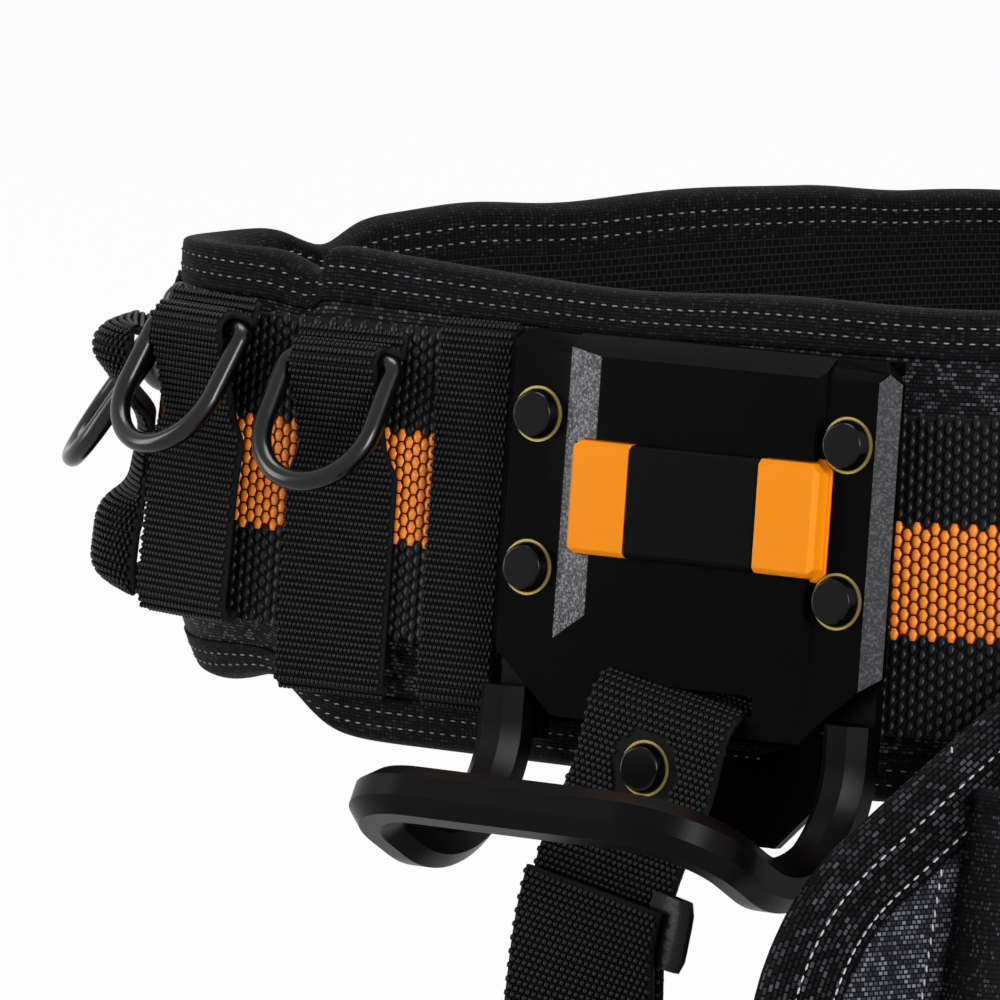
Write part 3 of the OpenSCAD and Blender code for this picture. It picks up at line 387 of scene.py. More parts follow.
def ribbon(name, centre, across, out, width, thick, finish, columns=8, arch=None):
    """A tape along centre points: its axes across and outwards, its width and its edges' shift at each."""
    width = np.broadcast_to(np.asarray(width, float), len(centre))
    full = width.max()
    section = tape_section(full, thick, columns)
    wide = section[None, :, :1] * (width / full)[:, None, None]
    rings = centre[:, None, :] + across[:, None, :] * wide + out[:, None, :] * section[None, :, 1:]
    if arch is not None:
        rings = rings + arch[:, None, :] * (2 * section[None, :, :1] / full) ** 2
    uv = np.stack(np.broadcast_arrays(runs(centre)[:, None], section[None, :, 0]), -1)
    return sweep(name, rings, finish, uv)


def bead_tree(name, sphere):
    """A tree that sets one rounded bead on each point, turned by the point's own angles."""
    tree = bpy.data.node_groups.new(name, "GeometryNodeTree")
    face = tree.interface
    face.new_socket("Points", in_out="INPUT", socket_type="NodeSocketGeometry")
    for label in ("Length", "Width", "Rise"):
        face.new_socket(label, in_out="INPUT", socket_type="NodeSocketFloat")
    face.new_socket("Sides", in_out="INPUT", socket_type="NodeSocketInt")
    face.new_socket("Finish", in_out="INPUT", socket_type="NodeSocketMaterial")
    face.new_socket("Beads", in_out="OUTPUT", socket_type="NodeSocketGeometry")
    given = add(tree, "NodeGroupInput").outputs
    if sphere:
        shape = add(tree, "GeometryNodeMeshUVSphere", {"Segments": given["Sides"], "Rings": 5, "Radius": 0.5})
    else:
        shape = add(tree, "GeometryNodeMeshCone", {"Vertices": given["Sides"], "Radius Top": 0.27,
                                                   "Radius Bottom": 0.5, "Depth": 1.0})
    size = add(tree, "ShaderNodeCombineXYZ", {"X": given["Length"], "Y": given["Width"], "Z": given["Rise"]})
    sized = add(tree, "GeometryNodeTransform", {
        "Geometry": shape.outputs["Mesh"], "Scale": size.outputs["Vector"]})
    soft = add(tree, "GeometryNodeSetShadeSmooth", {"Geometry": sized.outputs["Geometry"]})
    turn = add(tree, "GeometryNodeInputNamedAttribute", {"Name": "turn"}, data_type="FLOAT_VECTOR")
    angle = add(tree, "FunctionNodeEulerToRotation", {"Euler": turn.outputs["Attribute"]})
    points = add(tree, "GeometryNodeMeshToPoints", {"Mesh": given["Points"]})
    laid = add(tree, "GeometryNodeInstanceOnPoints", {
        "Points": points.outputs["Points"], "Instance": soft.outputs["Geometry"],
        "Rotation": angle.outputs["Rotation"]})
    real = add(tree, "GeometryNodeRealizeInstances", {"Geometry": laid.outputs["Instances"]})
    done = add(tree, "GeometryNodeSetMaterial", {
        "Geometry": real.outputs["Geometry"], "Material": given["Finish"]})
    add(tree, "NodeGroupOutput", {"Beads": done.outputs["Geometry"]})
    return tree


FLOATS = bead_tree("weave_floats", False)
STITCHES = bead_tree("stitches", True)


def beads(name, tree, points, along, out, size, sides, finish):
    """Beads of size (length, width, rise) laid on points along their rows, as one plain mesh on the belt."""
    across = np.cross(out, along)
    mesh = bpy.data.meshes.new(name + "_points")
    mesh.from_pydata((points * MM).tolist(), [], [])
    pitch = np.arcsin(np.clip(-along[:, 2], -1, 1))
    roll = np.arctan2(across[:, 2], out[:, 2])
    yaw = np.arctan2(along[:, 1], along[:, 0])
    turn = mesh.attributes.new("turn", "FLOAT_VECTOR", "POINT")
    turn.data.foreach_set("vector", np.stack([roll, pitch, yaw], -1).astype(np.float32).ravel())
    carrier = bpy.data.objects.new(name + "_points", mesh)
    bpy.context.scene.collection.objects.link(carrier)
    modifier = carrier.modifiers.new("beads", "NODES")
    modifier.node_group = tree
    values = {"Length": size[0] * MM, "Width": size[1] * MM, "Rise": size[2] * MM,
              "Sides": sides, "Finish": finish}
    for item in tree.interface.items_tree:
        if item.item_type == "SOCKET" and item.in_out == "INPUT" and item.name in values:
            modifier[item.identifier] = values[item.name]
    bpy.context.view_layer.update()
    plain = bpy.data.meshes.new_from_object(carrier.evaluated_get(bpy.context.evaluated_depsgraph_get()))
    plain.name = name
    made = bpy.data.objects.new(name, plain)
    bpy.context.scene.collection.objects.link(made)
    bpy.data.objects.remove(carrier)
    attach(made, "belt")
    return made


def bricks(start, length, width, step_along, step_across):
    """Brick-set (along, across) centres over a tape from start to length."""
    rows = []
    for number, s in enumerate(np.arange(start + step_along / 2, length, step_along)):
        first = -width / 2 + step_across * (0.75 if number % 2 else 0.25)
        across = np.arange(first, width / 2 - 0.2 * step_across, step_across)
        rows.append(np.stack([np.full(len(across), s), across], -1))
    return np.concatenate(rows)


def on_ribbon(centre, across, out, spots, lift):
    """Points, along axes and outward axes of (along, across) spots laid lift above a ribbon's middle."""
    run = runs(centre)
    pick = lambda values: np.stack([np.interp(spots[:, 0], run, values[:, k]) for k in range(3)], -1)
    o = pick(out)
    o /= np.linalg.norm(o, axis=1)[:, None]
    c = pick(across)
    c -= o * np.sum(c * o, axis=1)[:, None]
    c /= np.linalg.norm(c, axis=1)[:, None]
    return pick(centre) + c * spots[:, 1:2] + o * lift, np.cross(c, o), o


def rounded(corners, radius, steps=6):
    """A path through corner points with each inner corner rounded."""
    corners = [np.asarray(p, float) for p in corners]
    path = [corners[0]]
    for before, at, after in zip(corners, corners[1:], corners[2:]):
        reach = min(radius, 0.48 * np.linalg.norm(before - at), 0.48 * np.linalg.norm(after - at))
        start = at + (before - at) / np.linalg.norm(before - at) * reach
        end = at + (after - at) / np.linalg.norm(after - at) * reach
        for k in np.linspace(0, 1, steps):
            path.append((1 - k) ** 2 * start + 2 * k * (1 - k) * at + k ** 2 * end)
    path.append(corners[-1])
    return np.array(path)


def refine(path, step):
    """Points at an even step along a path."""
    run = runs(path)
    at = np.linspace(0, run[-1], max(2, int(run[-1] / step)))
    return np.stack([np.interp(at, run, path[:, k]) for k in range(path.shape[1])], -1)


# The waist pad

EDGE_HALF, SWELL_HALF, SWELL_POWER, SWELL_EASE = 3.4, 3.6, 3.2, 0.9


def pad_half_thick(w):
    """Half thickness of the pad at a height over its middle."""
    return EDGE_HALF + SWELL_HALF * np.clip(1 - np.abs(w / PAD_HALF) ** SWELL_POWER, 0, 1) ** SWELL_EASE


def around(section, t):
    """Rings of points of an (up, out) section carried along the settled pad, with a UV for each."""
    up, out = settle(t[:, None], section[None, :, 0], section[None, :, 1])
    uv = np.stack(np.broadcast_arrays(t[:, None], runs(section)[None, :]), -1)
    return lay(t[:, None], up, out), uv


BELT_T = np.linspace(-PAD_RUN + 1, PAD_RUN - 1, 500)
w = np.linspace(-PAD_HALF + 1.2, PAD_HALF - 1.2, 26)
half = pad_half_thick(w)
section = np.concatenate([np.stack([w, half], -1), np.stack([w[::-1], -half[::-1]], -1)])
rings, uv = around(section, BELT_T)
pad = sweep("pad_cover", rings, COVER, uv)
fitted(pad, "cover_cloth", "foam_back", "foam_right", "foam_left", "outer_cover")

LINING_HALF = 45.0
w = np.linspace(-LINING_HALF, LINING_HALF, 22)
half = pad_half_thick(w)
section = np.concatenate([np.stack([w, -half - 0.5], -1), np.stack([w[::-1], 0.6 - half[::-1]], -1)])
rings, uv = around(section, BELT_T)
lining = sweep("lining", rings, LINING, uv)
fitted(lining, "mesh", "mesh_lining")

CROWN = 2.4
STITCH = (1.6, 0.42, 0.36)
STITCH_STEP = 2.9
STITCH_DROPS = (4.0, 7.3)


def binding_section(side):
    """(up, out) points of the tape folded over one edge; side is 1 for the top and -1 for the bottom."""
    w = np.linspace(PAD_HALF - TAPE_DEPTH, PAD_HALF - CROWN, 8)
    n = pad_half_thick(w) + 0.55
    angle = np.linspace(0, math.pi, 13)
    crown = np.stack([PAD_HALF - CROWN + CROWN * np.sin(angle), n[-1] * np.cos(angle)], -1)
    outer = np.concatenate([np.stack([w, n], -1), crown[1:-1], np.stack([w[::-1], -n[::-1]], -1)])
    inner = outer.copy()
    inner[:, 1] -= np.sign(inner[:, 1]) * TAPE_THICK
    inner[:, 0] = np.minimum(inner[:, 0], PAD_HALF - TAPE_THICK)
    whole = np.concatenate([outer, inner[::-1]])
    whole[:, 0] *= side
    return whole


for name, side in (("top_binding", 1), ("bottom_binding", -1)):
    rings, uv = around(binding_section(side), BELT_T)
    fitted(sweep(name + "_tape", rings, TAPE, uv), "binding_tape", name)
    seam_t = np.arange(-PAD_RUN + 4, PAD_RUN - 4, STITCH_STEP)
    _, along, _, out = frame_at(seam_t)
    spots, outs = [], []
    for face in (1, -1):
        for drop in STITCH_DROPS:
            level = side * (PAD_HALF - drop)
            spots.append(lay(seam_t, *settle(seam_t, level, face * (pad_half_thick(level) + 0.62))))
            outs.append(out * face)
    rows = np.tile(along, (len(spots), 1))
    beads(name + "_stitches", STITCHES, np.concatenate(spots), rows, np.concatenate(outs), STITCH, 6, THREAD)

for side, label in ((1, "right"), (-1, "left")):
    w = np.linspace(-PAD_HALF + 0.6, PAD_HALF - 0.6, 24)
    n = pad_half_thick(w) + 0.6
    t = side * (PAD_RUN + np.array([-9, -0.2, 0.6, 0.6, -0.2, -9]))
    out = np.array([1.0, 1.0, 0.6, -0.6, -1.0, -1.0])
    rings = lay(t[None, :], w[:, None], n[:, None] * out[None, :])
    uv = np.stack(np.broadcast_arrays(w[:, None], runs(rings[0])[None, :]), -1)
    fitted(sweep("end_tape_" + label, rings, TAPE, uv), "binding_tape")
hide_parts("end_bindings")


# The waist webbing, looped at each end round a bar of the buckle

BAR_ANGLE = math.radians(16.0)
WEB_RUN = BACK_ARC + SIDE_LENGTH + (2 * math.pi - CONTACT - BAR_ANGLE) * FRONT_RADIUS
LOOP_RADIUS = 4.0
LOOP_RETURN = 24.0
turn = np.linspace(0, math.pi, 13)[1:]
end_t = np.concatenate([WEB_RUN + LOOP_RADIUS * np.sin(turn), WEB_RUN - np.linspace(2, LOOP_RETURN, 8)])
end_n = WEB_MID_OUT - LOOP_RADIUS + LOOP_RADIUS * np.cos(turn)
end_n = np.concatenate([end_n, np.full(8, WEB_MID_OUT - 2 * LOOP_RADIUS)])
main_t = np.linspace(-WEB_RUN, WEB_RUN, 460)
web_t = np.concatenate([-end_t[::-1], main_t, end_t])
web_n = np.concatenate([end_n[::-1], np.full(len(main_t), WEB_MID_OUT), end_n])
middle = lay(web_t, WEB_MID + web_rise(web_t), web_n)
up = frame_at(web_t)[2]
heading = np.gradient(middle, axis=0)
out = np.cross(heading, up)
out /= np.linalg.norm(out, axis=1)[:, None]
webbing = ribbon("webbing", middle, up, out, WEB_TOP - WEB_LOW, WEB_THICK, WEB, columns=14)
fitted(webbing, "waist_webbing", "waist_webbing")

main = slice(len(end_t), len(end_t) + len(main_t))
middle, up, out = middle[main], up[main], out[main]
stripe_mid = (STRIPE_LOW + STRIPE_TOP) / 2 - WEB_MID
STRIPE_LIFT, FLOAT_LIFT = 0.12, 0.75
ground = ribbon("stripe", middle + up * stripe_mid + out * STRIPE_LIFT, up, out, STRIPE_TOP - STRIPE_LOW,
                WEB_THICK, STRIPE)
fitted(ground, "waist_webbing")
FLOAT_STEP = (2.1, 2.9)
FLOAT_SIZE = (2.3, 3.5, 1.3)
FLOAT_LEAN = math.radians(11.0)
spots = bricks(0.0, runs(middle)[-1], WEB_TOP - WEB_LOW, *FLOAT_STEP)
points, a, o = on_ribbon(middle, up, out, spots, FLOAT_LIFT)
o = o * math.cos(FLOAT_LEAN) + np.cross(o, a) * math.sin(FLOAT_LEAN)
height = spots[:, 1] + WEB_MID
stripe = (height > STRIPE_LOW) & (height < STRIPE_TOP)
for name, chosen, finish in (("stripe_floats", stripe, ORANGE_YARN),
                             ("upper_floats", ~stripe & (height > 0), BLACK_YARN),
                             ("lower_floats", ~stripe & (height < 0), BLACK_YARN)):
    beads(name, STITCHES, points[chosen], a[chosen], o[chosen], FLOAT_SIZE, 6, finish)


# Keepers

KEEPER_STEP = (1.5, 1.15)
KEEPER_FLOAT = (1.7, 1.25, 0.7)
ARCH_MOST, ARCH_CLEAR, ARCH_FROM, ARCH_BLEND = 9.0, 6.8, 10.0, 9.0


def keeper(name, t, path, width, node, arched=False):
    """A tape that follows an (up, out) path at one place on the belt, with its rows of floats."""
    at = flat_frame(t)
    run = runs(path)
    steps = np.linspace(0, run[-1], int(run[-1] / 1.0))
    path, width = (np.stack([np.interp(steps, run, path[:, k]) for k in range(2)], -1),
                   np.interp(steps, run, np.broadcast_to(width, len(run))))
    centre = place(np.stack([np.zeros(len(path)), path[:, 0], path[:, 1]], -1), at)
    heading = np.gradient(path, axis=0)
    heading /= np.linalg.norm(heading, axis=1)[:, None]
    out = heading[:, :1] * at[3] - heading[:, 1:] * at[2]
    across = np.repeat(at[1][None, :], len(path), axis=0)
    rest = KEEPER_MID_OUT + ARCH_CLEAR * smooth((path[:, 0] - ARCH_FROM) / ARCH_BLEND)
    arch = -at[3] * (arched * np.clip(path[:, 1] - rest, 0, ARCH_MOST))[:, None]
    fitted(ribbon(name, centre, across, out, width, KEEPER_THICK, WEB, arch=arch), "black_webbing", node)
    spots = bricks(0.0, runs(centre)[-1], width.max() - 0.4, *KEEPER_STEP)
    spots = spots[np.abs(spots[:, 1]) < np.interp(spots[:, 0], steps, width) / 2 - 0.3]
    points, a, o = on_ribbon(centre, across, out, spots, 0.8)
    aside = 2 * spots[:, 1] / np.interp(spots[:, 0], steps, width)
    shift = np.stack([np.interp(spots[:, 0], steps, arch[:, k]) for k in range(3)], -1)
    points = points + shift * (aside ** 2)[:, None]
    o = o - at[1] * (4 * np.sum(shift * o, axis=1) * aside / width.max())[:, None]
    o /= np.linalg.norm(o, axis=1)[:, None]
    beads(name + "_floats", FLOATS, points, a, o, KEEPER_FLOAT, 6, KEEPER_YARN)


NECK_DROP = 21.0
NECK_BLEND = 7.0
SLEEVE_TURN, WIDEN_FROM, WIDEN_RUN = (-0.45, 2.75), 1.75, 0.5
TAIL_OUT, TAIL_HIDDEN, TAIL_DROP, TAPE_BEND = 8.2, 1.4, 0.8, 5.0


def ring_path(bar, tail, loose, run):
    """(up, out) middle of a ring keeper's tape, from its tail over its sleeve to the pad, and its widths."""
    turns = np.linspace(*SLEEVE_TURN, 14)
    sleeve = np.stack([bar + (SLEEVE_MID + loose / 4) * np.sin(turns),
                       RING_OUT + loose / 2 + (SLEEVE_MID + loose / 2) * np.cos(turns)], -1)
    turn = [[tail + TAIL_HIDDEN, TAIL_OUT], [tail - TAIL_DROP, (TAIL_OUT + run[0][1]) / 2]]
    rise = rounded([*turn, *run, sleeve[0]], TAPE_BEND)
    path = np.concatenate([rise, sleeve[1:], [[bar + 5.6, 10.0], [bar + 6.6, 9.2]]])
    below = smooth((bar - NECK_DROP + 2 - path[:, 0]) / NECK_BLEND)
    above = np.concatenate([np.zeros(len(rise)), smooth((turns[1:] - WIDEN_FROM) / WIDEN_RUN), np.ones(2)])
    share = np.maximum(below * (np.arange(len(path)) < len(rise)), above)
    return path, KEEPER_NECK + (KEEPER_WIDTH - KEEPER_NECK) * share


BACK_TAIL, SHORT_TAIL, LONG_TAIL = -27.0, -29.0, -42.0
BACK_BAR, INNER_BAR, OUTER_BAR = RING_BAR - 6.5, RING_BAR + 3.0, RING_BAR - 1.5
BACK_LOOSE, INNER_LOOSE = 8.0, 1.0
# The back keeper stands off the pad but for where its ring swings in
BACK_RUN_PATH = [[BACK_TAIL + 2.2, 20.0], [-10.5, 20.0], [-5.5, 13.6], [11.0, 12.2]]
INNER_RUN_PATH = [[SHORT_TAIL + 2.2, 12.6], [2.0, 12.0], [INNER_BAR - NECK_DROP, 11.0]]
OUTER_RUN_PATH = [[LONG_TAIL + 2.2, KEEPER_MID_OUT], [OUTER_BAR - NECK_DROP, KEEPER_MID_OUT]]
BACK_T = math.radians(5.0) * BACK_RADIUS
INNER_T = BACK_ARC - math.radians(13.0) * BACK_RADIUS
OUTER_T = BACK_ARC + 30.0
PLAIN_T = BACK_ARC + 64.3
PLAIN_WIDTH = 20.0
for name, t, *shape in (("back", BACK_T, BACK_BAR, BACK_TAIL, BACK_LOOSE, BACK_RUN_PATH),
                        ("right_inner", INNER_T, INNER_BAR, SHORT_TAIL, INNER_LOOSE, INNER_RUN_PATH),
                        ("left_inner", -INNER_T, INNER_BAR, SHORT_TAIL, INNER_LOOSE, INNER_RUN_PATH),
                        ("right_outer", OUTER_T, OUTER_BAR, LONG_TAIL, 0.0, OUTER_RUN_PATH),
                        ("left_outer", -OUTER_T, OUTER_BAR, LONG_TAIL, 0.0, OUTER_RUN_PATH)):
    keeper("keeper_" + name, t, *ring_path(*shape), "ring_keeper_" + name, arched=name == "back")
PLAIN_TOP = WEB_TOP + WEB_RAISE + 1.2
plain_path = rounded([[LONG_TAIL + TAIL_HIDDEN, TAIL_OUT], [LONG_TAIL - TAIL_DROP, 9.4],
                      [LONG_TAIL + 2.2, KEEPER_MID_OUT], [PLAIN_TOP - 3.0, KEEPER_MID_OUT],
                      [PLAIN_TOP, 10.2], [PLAIN_TOP + 0.4, 8.0]], 4.0)
for name, t in (("right", PLAIN_T), ("left", -PLAIN_T)):
    keeper("plain_keeper_" + name, t, plain_path, PLAIN_WIDTH, "web_keeper_" + name)


# The holder's strap and tag

HOLDER_T = BACK_ARC + 127.0
HOLDER_RISE = 7.5
PLATE_FRONT = 18.0
SLOT_AT = -42.0
SWING = math.radians(11.0)
STRAP_WIDTH, STRAP_THICK = 37.0, 1.8
STRAP_FOLD_AT, STRAP_LENGTH = -45.0, 131.0
TWIST, TWIST_FROM, TWIST_RUN = math.radians(24.0), 46.0, 60.0
STRAP_DRIFT, DRIFT_FROM, DRIFT_RUN, DRIFT_BACK, BACK_RUN = 4.6, 14.0, 32.0, 50.0, 40.0
STRAP_STEP = (1.5, 1.5)
STRAP_FLOAT = (1.8, 1.6, 0.7)
holder = flat_frame(HOLDER_T)


def at_holder(local):
    """Points given from the face plate's front, over the rivets' centre."""
    return place(np.asarray(local, float) + np.array([0, HOLDER_RISE, PLATE_FRONT]), holder)


def strap_axes(up):
    """Origin and axes of the strap at heights under its slot: it hangs aslant and turns further down."""
    across = holder[1] * math.cos(SWING) - holder[2] * math.sin(SWING)
    along = holder[1] * math.sin(SWING) + holder[2] * math.cos(SWING)
    below = -np.asarray(up, float)[..., None]
    drift = STRAP_DRIFT * (smooth((below - DRIFT_FROM) / DRIFT_RUN) - smooth((below - DRIFT_BACK) / BACK_RUN))
    angle = TWIST * smooth((below - TWIST_FROM) / TWIST_RUN)
    origin = at_holder([0, SLOT_AT, 0.4]) - across * drift
    turned = across * np.cos(angle) - holder[3] * np.sin(angle)
    facing = holder[3] * np.cos(angle) + across * np.sin(angle)
    return origin, turned, along, facing


def on_strap(local):
    """Points given as (across, up, out) on the hanging strap."""
    local = np.asarray(local, float)
    origin, across, along, out = strap_axes(local[..., 1])
    return origin + across * local[..., :1] + along * local[..., 1:2] + out * local[..., 2:3]


path = rounded([[7.0, -7.0], [1.0, -6.6], [0.6, 0.6], [-4, 3.4], [-30, 3.4], [-60, 1.2],
                [-STRAP_LENGTH + 5, 1.0], [-STRAP_LENGTH, 3.2], [-STRAP_LENGTH + 5, 5.4],
                [STRAP_FOLD_AT, 5.6]], TAPE_BEND)
path = refine(path, 1.2)
centre = on_strap(np.stack([np.zeros(len(path)), path[:, 0], path[:, 1]], -1))
_, across, along, facing = strap_axes(path[:, 0])
heading = np.gradient(path, axis=0)
heading /= np.linalg.norm(heading, axis=1)[:, None]
out = heading[:, :1] * facing - heading[:, 1:] * along
strap = ribbon("strap", centre, across, out, STRAP_WIDTH, STRAP_THICK, WEB)
fitted(strap, "black_webbing", "retention_strap")
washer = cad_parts["strap_washer"]
washer_at = np.mean([washer.matrix_world @ v.co for v in washer.data.vertices], axis=0) / MM
WASHER_CLEAR = 8.6
for face, label in ((1, "front"), (-1, "back")):
    spots = bricks(0.0, runs(centre)[-1], STRAP_WIDTH - 0.6, *STRAP_STEP)
    points, a, o = on_ribbon(centre, across, out, spots, 0.85 * face)
    bare = np.linalg.norm(points - washer_at, axis=1) > WASHER_CLEAR
    beads("strap_floats_" + label, FLOATS, points[bare], a[bare], o[bare] * face, STRAP_FLOAT, 6, KEEPER_YARN)

TAG_REACH, TAG_TOP, TAG_LOW = 25.0, -41.0, -57.0
tag_path = rounded([[14.0, 2.6], [20.0, 2.4], [TAG_REACH, 2.9], [TAG_REACH + 0.6, 4.2],
                    [TAG_REACH - 1.5, 5.2], [18.0, 4.2], [14.0, 4.2]], 3.0)
tag_path = refine(tag_path, 0.8)
levels = np.linspace(TAG_LOW, TAG_TOP, 7)
tuck = 1.6 * (2 * (levels - TAG_LOW) / (TAG_TOP - TAG_LOW) - 1) ** 4
heading = np.gradient(tag_path, axis=0)
heading /= np.linalg.norm(heading, axis=1)[:, None]
side = np.stack([-heading[:, 1], heading[:, 0]], -1)
loop = np.concatenate([tag_path + 0.25 * side, (tag_path - 0.25 * side)[::-1]])
rings = []
for level, pull in zip(levels, tuck):
    reach = loop[:, 0] - pull * smooth((loop[:, 0] - 16) / 8)
    rings.append(on_strap(np.stack([reach, np.full(len(loop), level), loop[:, 1]], -1)))
fitted(sweep("tag_loop", rings, TAG, sharp=40), "tag", "strap_tag")


# The pouch

POUCH_FRAME = flat_frame(POUCH_T)
PANEL_LOW, PANEL_HIGH, PANEL_BEND = 13.7, 17.7, 14.0
PANEL_CORNERS = [[99, -214], [129, -184], [128.5, -90.5], [115.5, -63.8], [29, 2.5], [29, 29]]
BIND_REACH, BIND_IN, BIND_THICK = 2.0, -17.0, 6.0
TONGUE_CUT, TONGUE_FROM, TONGUE_RUN = 0.4, -12.0, 14.0


def closed_outline(half, radius, step):
    """Even points round a mirrored outline with rounded corners, and their outward normals."""
    half = np.asarray(half, float)
    points = np.concatenate([half, half[::-1] * [-1, 1]])
    middle = (points[0] + points[-1]) / 2
    path = refine(rounded([middle, *points, middle], radius), step)[:-1]
    tangent = np.roll(path, -1, axis=0) - np.roll(path, 1, axis=0)
    tangent /= np.linalg.norm(tangent, axis=1)[:, None]
    return path, tangent, np.stack([tangent[:, 1], -tangent[:, 0]], -1)


def on_pouch(flat, n):
    """Points on the pouch from (along, up) points and heights out of the belt."""
    flat = np.asarray(flat, float)
    n = np.broadcast_to(np.asarray(n, float), flat.shape[:-1])
    return place(np.concatenate([flat, n[..., None]], -1), POUCH_FRAME)


POUCH_STITCH = (1.9, 0.55, 0.5)


def seam(name, flat, tangent, n):
    """A row of stitches on the pouch along (along, up) points."""
    along = tangent[:, :1] * POUCH_FRAME[1] + tangent[:, 1:] * POUCH_FRAME[2]
    out = np.repeat(POUCH_FRAME[3][None, :], len(flat), axis=0)
    beads(name, STITCHES, on_pouch(flat, n), along, out, POUCH_STITCH, 6, PALE_THREAD)


outline, _, outward = closed_outline(PANEL_CORNERS, PANEL_BEND, 3.0)
rings, uvs = [], []
for reach, n in ((-3.0, PANEL_LOW), (-1.0, PANEL_LOW + 0.5), (-1.0, PANEL_HIGH - 0.5), (-3.0, PANEL_HIGH)):
    rings.append(on_pouch(outline + outward * reach, n))
    uvs.append(outline + outward * reach)
panel = sweep("pouch_panel", rings, HEATHER, np.stack(uvs), sharp=50)
fitted(panel, "heather_cloth", "pouch_back_panel")

outline, _, outward = closed_outline(PANEL_CORNERS, PANEL_BEND, 1.6)
bend = np.linspace(-math.pi / 2, math.pi / 2, 9)
middle_n = (PANEL_LOW + PANEL_HIGH) / 2
round_half = BIND_THICK / 2
profile = np.stack([BIND_REACH - round_half + round_half * np.cos(bend),
                    middle_n + round_half * np.sin(bend)], -1)
profile = np.concatenate([[[BIND_IN + 0.8, PANEL_LOW - 0.4]], profile, [[BIND_IN + 0.8, PANEL_HIGH + 0.6],
                          [BIND_IN, PANEL_HIGH - 0.2], [BIND_IN, PANEL_LOW + 0.2]]])
length = runs(np.concatenate([outline, outline[:1]]))[:-1]
narrow = 1 - TONGUE_CUT * smooth((outline[:, 1:] - TONGUE_FROM) / TONGUE_RUN)
rings = [on_pouch(outline + outward * (reach * narrow if reach < -5 else reach), n) for reach, n in profile]
across = runs(profile)
uvs = [np.stack([length, np.full(len(length), k)], -1) for k in across]
rings.append(rings[0])
uvs.append(np.stack([length, np.full(len(length), across[-1] + 1)], -1))
edge_tape = sweep("pouch_tape", rings, POUCH_TAPE, np.stack(uvs), caps=False, sharp=60)
fitted(edge_tape, "binding_tape", "pouch_binding")
outline, tangent, outward = closed_outline(PANEL_CORNERS, PANEL_BEND, STITCH_STEP)
narrow = 1 - TONGUE_CUT * smooth((outline[:, 1:] - TONGUE_FROM) / TONGUE_RUN)
for number, reach in enumerate((-6.0, -14.3)):
    seam(f"pouch_stitches_{number + 1}", outline + outward * reach * narrow, tangent, PANEL_HIGH + 1.0)


BAG_ROUND, BAG_SAG = 0.62, 1.6
RIM_WIDTH, RIM_DROP, RIM_EXTRA = 11.0, 4.4, 1.6


def bag(name, half_widths, levels, back, depth, wall, round_base, finish, node):
    """A sewn pocket, open at the top: its walls bulge from the side seams and draw in to the base."""
    rise = np.linspace(0, 1, 26)
    level = levels[0] + (levels[-1] - levels[0]) * rise
    half = np.interp(level, levels, half_widths)
    out = depth * np.sqrt(np.clip(1 - (1 - np.minimum((level - levels[0]) / round_base, 1)) ** 2, 0.002, 1))
    out = out * (1 + 0.05 * np.sin(math.pi * rise) - 0.06 * smooth((rise - 0.8) / 0.2))
    turn = np.linspace(0, math.pi, 44)
    x = np.sign(np.cos(turn)) * np.abs(np.cos(turn)) ** BAG_ROUND
    y = np.abs(np.sin(turn)) ** BAG_ROUND
    waves = np.sin(3 * turn[None, :] + 5 * rise[:, None])
    sag = BAG_SAG * waves * np.sin(math.pi * rise)[:, None] * y[None, :]
    height = np.repeat(level[:, None], len(turn), 1)
    outer = np.stack([half[:, None] * x, height, back + out[:, None] * y + sag], -1)
    inner_n = back + np.maximum(out - wall, 0.1)[:, None] * y + sag
    inner = np.stack([(half - wall)[:, None] * x, outer[..., 1], inner_n], -1)
    rings = np.concatenate([outer, inner[:, ::-1]], axis=1)
    girth = runs(outer[len(rise) // 2][:, [0, 2]])
    girth = np.concatenate([girth, girth[::-1]])
    uv = np.stack(np.broadcast_arrays(girth[None, :], level[:, None]), -1)
    made = sweep(name, place(rings, POUCH_FRAME), finish, uv, sharp=60)
    fitted(made, "pouch_cloth", node)
    rim = (outer[-1] + inner[-1]) / 2
    heading = np.gradient(rim, axis=0)
    away = np.stack([heading[:, 2], np.zeros(len(rim)), -heading[:, 0]], -1)
    away /= -np.linalg.norm(away, axis=1)[:, None]
    turned = place(away, (np.zeros(3), *POUCH_FRAME[1:]))
    up = np.repeat(POUCH_FRAME[2][None, :], len(rim), axis=0)
    line = place(rim - [0, RIM_DROP, 0], POUCH_FRAME)
    fitted(ribbon(name + "_tape", line, up, turned, RIM_WIDTH, wall + RIM_EXTRA, TAPE), "binding_tape")


POCKET_BACK, POCKET_DEPTH, POCKET_WALL = 18.7, 52.0, 3.0
POCKET_LEVELS = (-202.0, -174.0, -114.0, -46.0)
POCKET_HALF = (68.0, 92.0, 92.0, 78.0)
SMALL_BACK, SMALL_DEPTH = 70.9, 22.0
SMALL_LEVELS, SMALL_HALF = (-190.0, -140.0, -92.0), (54.0, 57.0, 58.0)
POCKET_BASE, SMALL_BASE = 40.0, 24.0
bag("pocket", POCKET_HALF, POCKET_LEVELS, POCKET_BACK, POCKET_DEPTH, POCKET_WALL, POCKET_BASE, POUCH,
    "pouch_pocket")
bag("front_pocket", SMALL_HALF, SMALL_LEVELS, SMALL_BACK, SMALL_DEPTH, POCKET_WALL, SMALL_BASE, POUCH,
    "pouch_front_pocket")
SEAM_GAP, SEAM_OVER, SEAM_LIFT = 4.0, 12, 0.2
level = np.arange(POCKET_LEVELS[0], POCKET_LEVELS[-1] + SEAM_OVER, STITCH_STEP)
